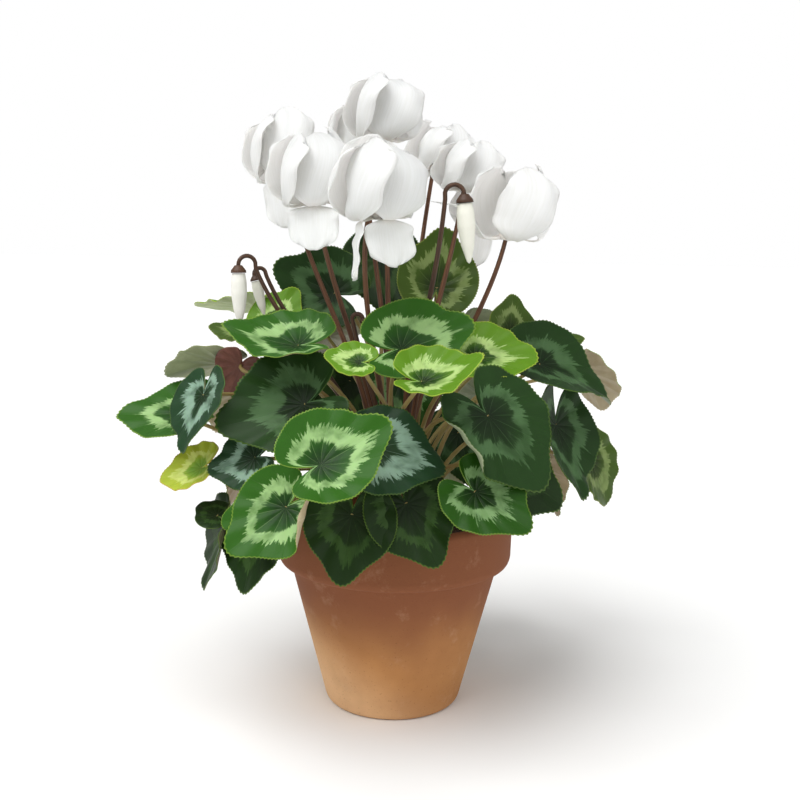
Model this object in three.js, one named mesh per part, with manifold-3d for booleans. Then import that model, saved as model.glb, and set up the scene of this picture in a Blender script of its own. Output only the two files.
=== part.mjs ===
// A florist's cyclamen in a terracotta pot, in millimetres, +Z up.
// The pot stands on z = 0 with its axis on the Z axis; the side to look at faces -Y.
import * as THREE from 'three';
import Module from 'manifold-3d';

const wasm = await Module();
wasm.setup();

// ---------------------------------------------------------------- driving dimensions
const POT_BASE_RADIUS = 41;
const POT_BODY_TOP_RADIUS = 62.7;
const POT_COLLAR_RADIUS = 70;
const POT_COLLAR_START = 86;
const POT_HEIGHT = 118;
const POT_WALL = 5;
const POT_FLOOR = 7;
const DRAIN_RADIUS = 6;
const POT_SIDES = 30;

const SEAT_GAP = 0.3;
const SOIL_TOP = 104;
const TUBER_RADIUS = 29;
const TUBER_BOTTOM = 88;
const CROWN_Z = 111;
const CROWN_RADIUS = 24;

const FOOT_RINGS = [4.6, 9.6, 14.8, 20.4];
const FOOT_SPACING = 4.6;

const PETIOLE_FOOT_RADIUS = 1.5;
const PETIOLE_TIP_RADIUS = 1.05;
const STEM_FOOT_RADIUS = 1.9;
const STEM_TIP_RADIUS = 1.2;
const BLADE_THICKNESS = 1.0;
const PETAL_THICKNESS = 0.9;

const PETIOLE_STEPS = 4;
const PETIOLE_SIDES = 4;
const PETIOLE_REACH = 0.33;
const PETIOLE_ARRIVAL = [0.8, 0.45];
const BLADE_SEAT = 0.15;
const BLADE_WAVE = 0.06;

const LEAF_ANGLES = [0, 24, 57, 93, 127, 153, 180, -153, -127, -93, -57, -24];
const SMALL_LEAF_ANGLES = [0, 32, 78, 122, 152, 180, -152, -122, -78, -32];
const SMALL_LEAF = 32;
const LEAF_RINGS = [0.52, 1];
const ROLLED_LEAF_RINGS = [0.36, 0.7, 1];

const DEGREE = Math.PI / 180;

// ---------------------------------------------------------------- small vector helpers
const vec = (x, y, z) => new THREE.Vector3(x, y, z);
const clamp01 = (x) => Math.min(1, Math.max(0, x));
const ease = (x) => clamp01(x) ** 2 * (3 - 2 * clamp01(x));

// ---------------------------------------------------------------- solids from point lists
function solid(points, triangles) {
  const places = new Float32Array(points.length * 3);
  points.forEach((p, i) => places.set([p.x, p.y, p.z], i * 3));
  const mesh = new wasm.Mesh({
    numProp: 3,
    vertProperties: places,
    triVerts: new Uint32Array(triangles.flat()),
  });
  return new wasm.Manifold(mesh);
}

function join(solids) {
  return solids.reduce((all, next) => all.add(next));
}

// A sheet given as points and triangles becomes a solid: both faces are the sheet moved half the
// thickness along the points' own normals, split into the same triangles, closed along the rim.
function thicken(points, triangles, rim, thickness) {
  const normals = points.map(() => vec(0, 0, 0));
  for (const [a, b, c] of triangles) {
    const ab = points[b].clone().sub(points[a]);
    const ac = points[c].clone().sub(points[a]);
    const cross = ab.cross(ac);
    normals[a].add(cross);
    normals[b].add(cross);
    normals[c].add(cross);
  }
  normals.forEach((n) => n.normalize().multiplyScalar(thickness / 2));
  const upper = points.map((p, i) => p.clone().add(normals[i]));
  const lower = points.map((p, i) => p.clone().sub(normals[i]));
  const count = points.length;
  const faces = [];
  for (const [a, b, c] of triangles) {
    faces.push([a, b, c]);
    faces.push([a + count, c + count, b + count]);
  }
  rim.forEach((i, k) => {
    const j = rim[(k + 1) % rim.length];
    faces.push([i + count, j + count, j]);
    faces.push([i + count, j, i]);
  });
  return solid([...upper, ...lower], faces);
}

// A round bar along a list of points, with a radius at each; its ends are flat.
function bar(path, radii, sides) {
  const tangents = path.map((p, i) => {
    const before = path[Math.max(0, i - 1)];
    const after = path[Math.min(path.length - 1, i + 1)];
    return after.clone().sub(before).normalize();
  });
  tangents[0] = vec(0, 0, 1);
  let side = vec(1, 0, 0);
  const points = [];
  path.forEach((p, i) => {
    const t = tangents[i];
    side = side.clone().sub(t.clone().multiplyScalar(side.dot(t))).normalize();
    const up = t.clone().cross(side);
    for (let j = 0; j < sides; j += 1) {
      const turn = (2 * Math.PI * j) / sides;
      const out = side.clone().multiplyScalar(Math.cos(turn));
      out.add(up.clone().multiplyScalar(Math.sin(turn)));
      points.push(p.clone().add(out.multiplyScalar(radii[i])));
    }
  });
  const faces = [];
  for (let i = 0; i < path.length - 1; i += 1) {
    for (let j = 0; j < sides; j += 1) {
      const here = i * sides + j;
      const next = i * sides + ((j + 1) % sides);
      faces.push([here, next, next + sides]);
      faces.push([here, next + sides, here + sides]);
    }
  }
  const last = (path.length - 1) * sides;
  for (let j = 1; j < sides - 1; j += 1) {
    faces.push([0, j + 1, j]);
    faces.push([last, last + j, last + j + 1]);
  }
  return solid(points, faces);
}

// A turned solid: (radius, height) pairs from the axis back to the axis, on any axis.
function turned(profile, sides, at = vec(0, 0, 0), axis = vec(0, 0, 1)) {
  const turn = new THREE.Quaternion().setFromUnitVectors(vec(0, 0, 1), axis);
  const points = [];
  const rings = profile.map(([r, z]) => {
    if (r === 0) {
      points.push(vec(0, 0, z));
      return [points.length - 1];
    }
    const ring = [];
    for (let j = 0; j < sides; j += 1) {
      const angle = (2 * Math.PI * j) / sides;
      points.push(vec(r * Math.cos(angle), r * Math.sin(angle), z));
      ring.push(points.length - 1);
    }
    return ring;
  });
  const faces = [];
  for (let i = 0; i < rings.length - 1; i += 1) {
    for (let j = 0; j < sides; j += 1) {
      const low = rings[i];
      const high = rings[i + 1];
      const next = (j + 1) % sides;
      if (low.length > 1) {
        faces.push([low[j], low[next], high[high.length > 1 ? next : 0]]);
      }
      if (high.length > 1) {
        faces.push([low[low.length > 1 ? j : 0], high[next], high[j]]);
      }
    }
  }
  return solid(points.map((p) => p.applyQuaternion(turn).add(at)), faces);
}

function bezier(a, b, c, d, steps) {
  const curve = new THREE.CubicBezierCurve3(a, b, c, d);
  return curve.getPoints(steps);
}

// ---------------------------------------------------------------- the part's tree
const part = new THREE.Group();
part.name = 'potted_cyclamen';

function addGeometry(name, geometry, colour, roughness) {
  const material = new THREE.MeshStandardMaterial({ color: colour, roughness, metalness: 0 });
  const mesh = new THREE.Mesh(geometry, material);
  mesh.name = name;
  part.add(mesh);
}

function addSolid(name, body, colour, roughness) {
  const { vertProperties, triVerts } = body.getMesh();
  const geometry = new THREE.BufferGeometry();
  geometry.setAttribute('position', new THREE.BufferAttribute(vertProperties, 3));
  geometry.setIndex(new THREE.BufferAttribute(triVerts, 1));
  addGeometry(name, geometry, colour, roughness);
}

function lathe(pairs, sides) {
  return new THREE.LatheGeometry(pairs.map(([r, z]) => new THREE.Vector2(r, z)), sides)
    .rotateX(Math.PI / 2);
}

// ---------------------------------------------------------------- feet on the tuber's crown
// Every petiole and stem stands on one of four rings on the crown, on the side it leans to. Feet
// of a ring that come too close are pushed apart, half the shortfall each, until all have room.
function placeFeet(rows) {
  FOOT_RINGS.forEach((radius, ring) => {
    const step = FOOT_SPACING / radius;
    const here = rows.filter((row) => row.ring === ring);
    here.forEach((row) => {
      row.foot = Math.atan2(row.at[1], row.at[0]);
    });
    here.sort((a, b) => a.foot - b.foot);
    for (let pass = 0; pass < 200; pass += 1) {
      here.forEach((row, i) => {
        const next = here[(i + 1) % here.length];
        const lap = i + 1 === here.length ? 2 * Math.PI : 0;
        const short = step - (next.foot + lap - row.foot);
        if (short > 0 && here.length > 1) {
          row.foot -= short / 2;
          next.foot += short / 2;
        }
      });
    }
  });
}

function footPlace(row) {
  const radius = FOOT_RINGS[row.ring];
  return vec(radius * Math.cos(row.foot), radius * Math.sin(row.foot), CROWN_Z + SEAT_GAP);
}

// ---------------------------------------------------------------- leaves
// Distance from the petiole's junction to the margin at an angle from the tip, for a leaf whose
// tip is 1 away: a broad heart with a short point and a deep, narrow notch at the back.
function leafReach(angle) {
  const point = 0.25 * Math.exp(-((angle / 0.3) ** 2));
  const notch = 1 - 0.82 * Math.exp(-(((Math.PI - Math.abs(angle)) / 0.28) ** 2));
  return (0.71 + 0.1 * Math.cos(angle) + point) * notch;
}

// The blade's own frame: tip direction, side direction and the way the upper face looks. "face"
// turns the upper face from -Y towards +X, "lift" raises it, "clock" turns the tip from downhill.
function leafFrame(row) {
  const face = row.face * DEGREE;
  const lift = row.lift * DEGREE;
  const clock = row.clock * DEGREE;
  const flat = vec(Math.sin(face), -Math.cos(face), 0);
  const normal = flat.clone().multiplyScalar(Math.cos(lift)).add(vec(0, 0, Math.sin(lift)));
  const down = flat.clone().multiplyScalar(Math.sin(lift)).sub(vec(0, 0, Math.cos(lift)));
  const right = normal.clone().cross(down);
  const tip = down.multiplyScalar(Math.cos(clock)).add(right.multiplyScalar(Math.sin(clock)));
  return { tip, normal, side: normal.clone().cross(tip) };
}

// A point of the blade: a cupped, folded, drooping and waved heart, then each roll in turn wraps
// what lies past a line round a cylinder lying across that direction.
function bladePoint(row, frame, reach, angle) {
  const far = reach * leafReach(angle);
  let x = far * Math.cos(angle);
  let y = far * Math.sin(angle);
  let z = row.cup * far ** 1.5;
  z += row.fold * (Math.sqrt(y * y + 0.01) - 0.1);
  z -= row.droop * Math.max(0, x) ** 2;
  z += row.wave * far * far * Math.cos(3 * angle + row.phase);
  for (const [direction, start, radius] of row.rolls) {
    const c = Math.cos(direction * DEGREE);
    const s = Math.sin(direction * DEGREE);
    const along = x * c + y * s;
    if (along > start) {
      const turn = (along - start) / radius;
      const moved = start + (radius - z) * Math.sin(turn);
      z = radius - (radius - z) * Math.cos(turn);
      x += (moved - along) * c;
      y += (moved - along) * s;
    }
  }
  const p = vec(...row.at);
  p.addScaledVector(frame.tip, x * row.size);
  p.addScaledVector(frame.side, y * row.size);
  p.addScaledVector(frame.normal, z * row.size);
  return p;
}

function leafSolid(row) {
  const frame = leafFrame(row);
  const rings = row.rolls.length ? ROLLED_LEAF_RINGS : LEAF_RINGS;
  const angles = row.size < SMALL_LEAF || row.back ? SMALL_LEAF_ANGLES : LEAF_ANGLES;
  const count = angles.length;
  const points = [bladePoint(row, frame, 0, 0)];
  for (const reach of rings) {
    for (const angle of angles) {
      points.push(bladePoint(row, frame, reach, angle * DEGREE));
    }
  }
  const faces = [];
  for (let j = 0; j < count; j += 1) {
    const next = (j + 1) % count;
    faces.push([0, 1 + j, 1 + next]);
    for (let k = 0; k < rings.length - 1; k += 1) {
      const inner = 1 + k * count;
      const outer = inner + count;
      faces.push([inner + j, outer + j, outer + next]);
      faces.push([inner + j, outer + next, inner + next]);
    }
  }
  const rimStart = 1 + (rings.length - 1) * count;
  const rim = angles.map((_, j) => rimStart + j);
  const blade = thicken(points, faces, rim, BLADE_THICKNESS);

  const foot = footPlace(row);
  const end = vec(...row.at).addScaledVector(frame.normal, BLADE_SEAT);
  const span = end.distanceTo(foot);
  const arrive = frame.normal.clone().multiplyScalar(PETIOLE_ARRIVAL[0]);
  arrive.addScaledVector(frame.tip, PETIOLE_ARRIVAL[1]).normalize();
  const outward = vec(foot.x, foot.y, 0).normalize();
  const sideways = vec(-outward.y, outward.x, 0);
  const low = foot.clone().add(vec(0, 0, row.rise * span));
  const high = end.clone().addScaledVector(arrive, -PETIOLE_REACH * span);
  high.addScaledVector(sideways, row.bow);
  const path = bezier(foot, low, high, end, PETIOLE_STEPS);
  const radii = path.map((_, i) => {
    const t = i / PETIOLE_STEPS;
    return PETIOLE_FOOT_RADIUS + (PETIOLE_TIP_RADIUS - PETIOLE_FOOT_RADIUS) * t;
  });
  return blade.add(bar(path, radii, PETIOLE_SIDES));
}

const DARK = 0x2c5232;
const BLUE = 0x2f5a48;
const GREEN = 0x4a7d38;
const LIME = 0x7aa63c;
const OLIVE = 0x5f6b22;
const YELLOW = 0xb9b53a;
const RED = 0x5a3434;

// One row a leaf: node, colour, junction, [face, lift, clock], tip length,
// [cup, fold, droop], [foot ring, rise, bow], rolls of [direction, start, radius].
// Rows with one node name stand on one foot and are one body.
const leafRows = [
  ['leaf_front_heart', GREEN, [-36, -115, 167], [0, 38, 118], 36, [0.3, 0.1, 0.05], [3, 0.5, 6], []],
  ['leaf_front_blue', BLUE, [-10, -88, 170], [4, 36, 78], 35, [0.05, 0, 0.3], [3, 0.5, 0], []],
  ['leaf_rim', DARK, [-22, -89, 135], [-6, 22, -6], 34, [0.1, 0, 0.12], [3, 0.5, 0], []],
  ['leaf_rim', DARK, [6, -87, 141], [8, 24, 24], 34, [0.1, 0, 0.1], [3, 0.5, 0], []],
  ['leaf_low_right', GREEN, [41, -92, 149], [8, 36, 48], 32, [0.26, 0, 0.12], [3, 0.5, 0], []],
  ['leaf_front_large', DARK, [47, -85, 187], [22, 30, 32], 44, [0.1, 0, 0.15], [2, 0.6, 0],
    [[-95, 0.4, 0.2]]],
  ['leaf_under_large', DARK, [58, -66, 158], [30, 26, 50], 38, [0.1, 0, 0.12], [3, 0.5, 0], []],
  ['leaf_dark_hollow', DARK, [91, -25, 173], [54, 18, -10], 42, [0.36, 0, 0.1], [3, 0.5, 0], []],
  ['leaf_far_right', OLIVE, [116, -1, 148], [50, 15, 28], 31, [0.05, 0.25, 0.1], [3, 0.5, 0], []],
  ['leaf_far_right', OLIVE, [93, 34, 217], [20, 66, 90], 24, [0, 0, 0], [2, 0.6, 0], []],
  ['leaf_right_large', DARK, [82, -18, 207], [28, 58, 62], 45, [0, 0.35, 0.2], [2, 0.6, 0], []],
  ['leaf_lime_right', LIME, [42, -51, 214], [12, 52, 82], 32, [0.2, 0.12, 0.05], [2, 0.6, 0], []],
  ['leaf_lime_cup', LIME, [13, -91, 205], [0, 58, 92], 28, [0.5, 0, 0], [2, 0.6, 0], []],
  ['leaf_lime_cup', LIME, [-19, -88, 214], [-5, 50, -95], 17, [0.25, 0, 0], [2, 0.6, -10], []],
  ['leaf_front_silver', GREEN, [2, -55, 218], [0, 44, 104], 38, [0.3, 0.1, 0], [2, 0.6, 8], []],
  ['leaf_flat_left', GREEN, [-55, -45, 218], [-10, 66, -88], 38, [0.28, 0.1, 0], [2, 0.6, 0], []],
  ['leaf_large_left', DARK, [-50, -58, 187.5], [-12, 36, -62], 44, [0.38, 0, 0.1], [2, 0.6, 0], []],
  ['leaf_round_left', BLUE, [-104, -57, 191], [-48, 26, 8], 31, [0.2, 0, 0.1], [3, 0.5, 0], []],
  ['leaf_far_left', GREEN, [-119.5, -29, 177], [-22, 60, -74], 38, [0.15, 0.1, 0.1], [3, 0.5, 0], []],
  ['leaf_yellow', YELLOW, [-107, -51, 150], [-45, 45, -55], 24, [0.2, 0.1, 0], [3, 0.5, 0], []],
  ['leaf_dark_left', BLUE, [-75, -69, 160], [-28, 26, -66], 25, [0.2, 0, 0], [3, 0.5, -8], []],
  ['leaf_folded', GREEN, [-54, -107, 143], [-12, 24, -45], 33, [0.2, 0, 0.05], [3, 0.5, -8],
    [[130, 0.25, 0.2]]],
  ['leaf_folded', GREEN, [-69, -91, 134], [-30, 24, -75], 22, [0.15, 0, 0.05], [3, 0.5, -8], []],
  ['leaf_low_left', DARK, [-73, -71, 120], [-36, 18, 2], 31, [0.15, 0, 0.05], [3, 0.5, 0], []],
  ['leaf_low_left', DARK, [-94, -50, 116], [-72, 14, 0], 34, [0.1, 0.2, 0.05], [3, 0.5, 0], []],
  ['leaf_low_left', DARK, [-97, -60, 126], [-10, 60, -120], 15, [0, 0, 0], [3, 0.5, 0], []],
  ['leaf_grey_left', OLIVE, [-101, -14, 204], [180, 62, 80], 33, [0, 0.1, 0.1], [2, 0.6, -6], []],
  ['leaf_grey_left', OLIVE, [-89, -4, 223], [-20, 70, -85], 22, [0.05, 0, 0], [2, 0.6, 0], []],
  ['leaf_burgundy', RED, [-88, -30, 205], [165, 30, 30], 21, [0, 0, 0.1], [2, 0.6, 0], []],
  ['leaf_lime_left', LIME, [-76, 15, 227], [-10, 40, 150], 24, [0.2, 0, 0], [2, 0.6, 0], []],
  ['leaf_lime_left', LIME, [-90, 42, 234], [180, 76, 80], 38, [0.1, 0, 0.1], [2, 0.6, 0], []],
  ['leaf_upper_left', DARK, [-41, 39, 244], [0, 22, -112], 38, [0.2, 0, 0], [1, 0.6, 0], []],
  ['leaf_upper_right', OLIVE, [23, 28, 249], [2, 20, 172], 35, [0.25, 0, 0.05], [2, 0.6, -6], []],
  ['leaf_upper_right', OLIVE, [67, 9, 223], [20, 20, 172], 22, [0.1, 0.2, 0], [2, 0.6, 0], []],
  ['leaf_back_far_right', GREEN, [130, 110, 190], [122, 38, 10], 39, [0.2, 0, 0.1], [3, 0.5, 0], []],
  ['leaf_back_far_right', GREEN, [91, 30, 138], [110, 20, 0], 34, [0.15, 0, 0.1], [3, 0.5, 0], []],
  ['leaf_back_right', DARK, [61, 96, 171], [150, 34, 10], 40, [0.2, 0, 0.1], [3, 0.5, 0], []],
  ['leaf_back_right', DARK, [34, 91, 134], [160, 20, 0], 34, [0.15, 0, 0.1], [3, 0.5, 0], []],
  ['leaf_back_right', DARK, [40, 50, 154], [18, 24, 10], 34, [0.15, 0, 0.1], [3, 0.5, 0], []],
  ['leaf_back_middle', GREEN, [2, 106, 171], [180, 34, 10], 40, [0.2, 0, 0.1], [3, 0.5, 0], []],
  ['leaf_back_middle', DARK, [2, 62, 186], [2, 26, 10], 38, [0.15, 0, 0.1], [3, 0.5, 0], []],
  ['leaf_back_left', DARK, [-61, 90, 177], [210, 34, -10], 40, [0.2, 0, 0.1], [3, 0.5, 0], []],
  ['leaf_back_left', DARK, [-36, 89, 134], [200, 20, 0], 34, [0.15, 0, 0.1], [3, 0.5, 0], []],
  ['leaf_back_left', DARK, [-32, 70, 184], [-4, 24, -10], 34, [0.12, 0, 0.1], [3, 0.5, 0], []],
  ['leaf_back_far_left', GREEN, [-98, 45, 181], [245, 34, -10], 38, [0.2, 0, 0.1], [3, 0.5, 0], []],
  ['leaf_back_far_left', GREEN, [-91, 20, 140], [256, 20, 0], 34, [0.15, 0, 0.1], [3, 0.5, 0], []],
  ['leaf_back_high_left', DARK, [-47, 65, 215], [205, 54, 0], 40, [0.2, 0, 0.1], [2, 0.6, 0], []],
  ['leaf_back_high_left', DARK, [-12, 74, 266], [0, 20, 8], 38, [0.15, 0, 0.05], [1, 0.6, 0], []],
  ['leaf_back_high_right', DARK, [42, 65, 220], [160, 54, 0], 40, [0.2, 0, 0.1], [2, 0.6, 14], []],
];

const leaves = leafRows.map((row, i) => ({
  node: row[0],
  colour: row[1],
  at: row[2],
  face: row[3][0],
  lift: row[3][1],
  clock: row[3][2],
  size: row[4],
  cup: row[5][0],
  fold: row[5][1],
  droop: row[5][2],
  ring: row[6][0],
  rise: row[6][1],
  bow: row[6][2],
  rolls: row[7],
  back: row[2][1] > 40,
  wave: BLADE_WAVE,
  phase: i * 2.1,
}));

// ---------------------------------------------------------------- blooms
const STEM_STEPS = 6;
const STEM_SIDES = 5;
const STEM_RISE = 0.4;
const STEM_REACH = 0.3;
const STEM_DIP = 2;
const STEM_SEAT = 1.2;
const HOOK_TURNS = [20, 75, 130];

// A stem stands up from its foot, then hooks over in a half circle and comes down into the calyx
// at "at"; "axis" is the way it came up, "side" the way from the calyx to the stem.
function hookedStem(foot, at, side, axis, hook, lean, bow) {
  const start = at.clone().addScaledVector(side, 2 * hook).addScaledVector(axis, -STEM_DIP);
  const span = start.distanceTo(foot);
  const low = foot.clone().add(vec(0, 0, STEM_RISE * span));
  const arrive = start.clone().sub(foot).normalize().lerp(axis, 1 - lean).normalize();
  const high = start.clone().addScaledVector(arrive, -STEM_REACH * span).add(vec(bow, 0, 0));
  const path = bezier(foot, low, high, start, STEM_STEPS);
  for (const turn of HOOK_TURNS) {
    const p = at.clone().addScaledVector(side, hook * (1 + Math.cos(turn * DEGREE)));
    p.addScaledVector(axis, hook * Math.sin(turn * DEGREE));
    path.push(p);
  }
  path.push(at.clone().addScaledVector(axis, -STEM_SEAT));
  const radii = path.map((_, i) => {
    const t = Math.min(1, i / STEM_STEPS);
    return STEM_FOOT_RADIUS + (STEM_TIP_RADIUS - STEM_FOOT_RADIUS) * t;
  });
  return bar(path, radii, STEM_SIDES);
}

const PETAL_ROWS = [0, 0.15, 0.34, 0.7, 1];
const PETAL_COLUMNS = [-1, -0.4, 0.4, 1];
const TUBE_PROFILE = [[0, 6], [3.6, 0], [6.2, 0], [6, 6], [0, 10.4]];
const CALYX_TOP = 14;
const CALYX_PROFILE = [[0, 10.8], [4.6, 8.4], [3.4, 13.2], [0, CALYX_TOP]];
const HOOK_RADIUS = 4;
const PETAL_STEPS = 24;
const PETAL_WRAP = 22;
const PETAL_RUFFLE = 1.2;
const PETAL_TURN = 90;
const PETAL_SWIRL = 38;
const PETAL_CURL_SPREAD = 9;
const PETAL_LENGTH_SPREAD = 0.05;

// The middle line of a petal in the plane through the bloom's axis: out of the tube, then turned
// up (or down) by "turn" degrees and, further along, by "curl" more.
function petalLine(petal) {
  const line = [[4.6, 1.8]];
  const step = petal.length / PETAL_STEPS;
  for (let i = 0; i < PETAL_STEPS; i += 1) {
    const u = (i + 0.5) / PETAL_STEPS;
    const turn = -12 + petal.turn * ease((u - 0.08) / 0.26) + petal.curl * ease((u - 0.35) / 0.65);
    const [r, z] = line[i];
    line.push([r + step * Math.cos(turn * DEGREE), z + step * Math.sin(turn * DEGREE)]);
  }
  return line;
}

function petalWidth(u, width) {
  const grown = 0.15 + 0.85 * ease((u - 0.14) / 0.26);
  const rounded = (1 - (0.95 * clamp01((u - 0.55) / 0.45)) ** 2.6) ** (1 / 2.6);
  return width * grown * rounded;
}

// A point of a petal: across the middle line it lies on a circle round the bloom's axis side, and
// turns about the line by "twist" so that each petal lies over the next. An upright petal also
// swirls round the axis on its way up.
function petalPoint(row, petal, frame, line, u, v) {
  const at = PETAL_STEPS * u * (1 - 0.12 * u * v * v);
  const i = Math.min(PETAL_STEPS - 1, Math.floor(at));
  const r = line[i][0] + (line[i + 1][0] - line[i][0]) * (at - i);
  const z = line[i][1] + (line[i + 1][1] - line[i][1]) * (at - i);
  const half = petalWidth(u, petal.width) / 2;
  const bend = (v * half) / PETAL_WRAP;
  const across = PETAL_WRAP * Math.sin(bend);
  const inward = petal.turn > 60 ? PETAL_WRAP * (1 - Math.cos(bend)) : 0;
  const twist = row.twist * DEGREE * ease((u - 0.15) / 0.3);
  const radial = r - inward + across * Math.sin(twist);
  const tangential = across * Math.cos(twist);
  const swirl = petal.turn > 80 ? PETAL_SWIRL * DEGREE * ease(u) : 0;
  const out = frame.x.clone().multiplyScalar(Math.cos(petal.angle + swirl));
  out.addScaledVector(frame.y, Math.sin(petal.angle + swirl));
  const round = frame.axis.clone().cross(out);
  const p = row.mouth.clone().addScaledVector(out, radial).addScaledVector(round, tangential);
  const ruffle = PETAL_RUFFLE * v * v * Math.sin(7 * u + petal.angle);
  return p.addScaledVector(frame.axis, z + ruffle);
}

function bloomFrame(row) {
  const axis = vec(row.tilt[0], row.tilt[1], 1).normalize();
  const x = vec(1, 0, 0).addScaledVector(axis, -axis.x).normalize();
  return { axis, x, y: axis.clone().cross(x) };
}

function petals(row) {
  const frame = bloomFrame(row);
  const solids = [turned(TUBE_PROFILE, 6, row.mouth, frame.axis)];
  row.petals.forEach((petal) => {
    const line = petalLine(petal);
    const points = [];
    for (const u of PETAL_ROWS) {
      for (const v of PETAL_COLUMNS) {
        points.push(petalPoint(row, petal, frame, line, u, v));
      }
    }
    const wide = PETAL_COLUMNS.length;
    const long = PETAL_ROWS.length;
    const faces = [];
    for (let i = 0; i < long - 1; i += 1) {
      for (let j = 0; j < wide - 1; j += 1) {
        const here = i * wide + j;
        faces.push([here, here + wide, here + wide + 1]);
        faces.push([here, here + wide + 1, here + 1]);
      }
    }
    const rim = [];
    for (let i = 0; i < long; i += 1) rim.push(i * wide);
    for (let j = 1; j < wide; j += 1) rim.push((long - 1) * wide + j);
    for (let i = long - 2; i >= 0; i -= 1) rim.push(i * wide + wide - 1);
    for (let j = wide - 2; j > 0; j -= 1) rim.push(j);
    solids.push(thicken(points, faces, rim, PETAL_THICKNESS));
  });
  return join(solids);
}

function bloomStem(row) {
  const frame = bloomFrame(row);
  const calyx = turned(CALYX_PROFILE, 6, row.mouth, frame.axis);
  const side = frame.x.clone().multiplyScalar(Math.cos(row.stem * DEGREE));
  side.addScaledVector(frame.y, Math.sin(row.stem * DEGREE));
  const at = row.mouth.clone().addScaledVector(frame.axis, CALYX_TOP);
  return calyx.add(hookedStem(footPlace(row), at, side, frame.axis, HOOK_RADIUS, 0.1, row.bow));
}

// One row a bloom: name, middle of its mouth, tilt, [petal length, width, twist, curl], side of
// the stem in degrees, foot ring, sideways bow of the stem, then its other petals. Five petals
// stand up, a fifth of a turn apart, but those that another petal of the same place number
// replaces: [place, turn, curl, length, width]. A petal with a place number above 4 is added
// below the one five places before.
const bloomRows = [
  ['far_left', [-69, 24, 311], [-0.12, 0.1], [55, 34, 26, 66], 84, 1, -3, [[7, -66, -10, 40, 29]]],
  ['left', [-47, -34, 294], [-0.05, -0.1], [55, 34, 26, 66], 92, 1, 0, [[7, -40, -15, 34, 34]]],
  ['top', [-9, 6, 333], [0, 0], [52, 38, 26, 72], 90, 0, 0, []],
  ['back_left', [-25, 60, 330], [-0.1, 0.15], [44, 34, 26, 62], 270, 1, 0, []],
  ['centre', [-11, -68, 286], [0, -0.1], [57, 38, 26, 74], 115, 0, -14,
    [[6, -72, 0, 40, 12], [7, -56, 0, 30, 26]]],
  ['back_right', [23, 54, 318], [0.1, 0.15], [44, 34, 26, 62], 250, 1, -4, [[9, -72, 0, 38, 18]]],
  ['right', [38, 6, 305], [0.08, 0], [39, 31, 26, 62], 96, 0, 0, [[8, -66, 0, 30, 20]]],
  ['far_right', [60, -34, 277], [0.08, -0.05], [55, 35, 26, 60], 92, 1, 0, [[1, 60, -46, 50, 24]]],
  ['low_back', [52, 58, 284], [0.15, 0.15], [42, 33, 26, 58], 225, 0, 8, [[5, -66, 0, 36, 22]]],
];

const blooms = bloomRows.map(([name, at, tilt, form, stem, ring, bow, others]) => {
  const [length, width, twist, curl] = form;
  const places = [0, 1, 2, 3, 4].filter((k) => !others.some((other) => other[0] === k));
  const upright = places.map((k) => [k, PETAL_TURN, curl, length, width]);
  const petalList = [...upright, ...others].map((petal) => ({
    angle: (stem + 72 * (petal[0] + 0.5)) * DEGREE,
    turn: petal[1],
    curl: petal[2] + PETAL_CURL_SPREAD * Math.sin(2.4 * petal[0] + at[0]),
    length: petal[3] * (1 + PETAL_LENGTH_SPREAD * Math.sin(1.7 * petal[0] + at[1])),
    width: petal[4],
  }));
  return { name, at, mouth: vec(...at), tilt, twist, stem, ring, bow, petals: petalList };
});

// ---------------------------------------------------------------- buds
// One row a bud: name, top of its calyx, way it hangs, side of the stem, hook radius, scale, ring.
const budRows = [
  ['far_left', [-90, -25, 261], [0.02, 0, -1], 25, 5, 0.95, 1],
  ['left', [-83, -12, 255], [0.25, 0, -1], 25, 3.5, 0.66, 1],
  ['right', [33, -62, 300], [0.1, 0, -1], 180, 5, 1, 0],
  ['spent', [-20, -30, 233], [0.3, 0, -1], 180, 3, 0.5, 1],
];

const buds = budRows.map((row) => ({
  name: row[0],
  at: row[1],
  hang: vec(...row[2]).normalize(),
  stem: row[3],
  hook: row[4],
  scale: row[5],
  ring: row[6],
}));

const SPENT_PROFILE = [[0, 4], [3.9, 5], [4.7, 10], [4.8, 17], [3.4, 27], [1.1, 35], [0, 36]];
const BUD_PROFILE = [[0, 5], [3.9, 5], [4.7, 10], [4.8, 17], [3.4, 27], [1.1, 35], [0, 36]];
const BUD_CALYX = [[0, 0], [2.2, 0.3], [4.4, 3.2], [4.6, 4.65], [0, 4.65]];

function budShape(bud, profile) {
  const pairs = profile.map(([r, z]) => [r * bud.scale, z * bud.scale]);
  return turned(pairs, 8, vec(...bud.at), bud.hang);
}

function budStem(bud) {
  const side = vec(Math.cos(bud.stem * DEGREE), Math.sin(bud.stem * DEGREE), 0);
  const axis = bud.hang.clone().negate();
  side.addScaledVector(axis, -side.dot(axis)).normalize();
  return hookedStem(footPlace(bud), vec(...bud.at), side, axis, bud.hook, 0.8, 0)
    .add(budShape(bud, BUD_CALYX));
}

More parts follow.
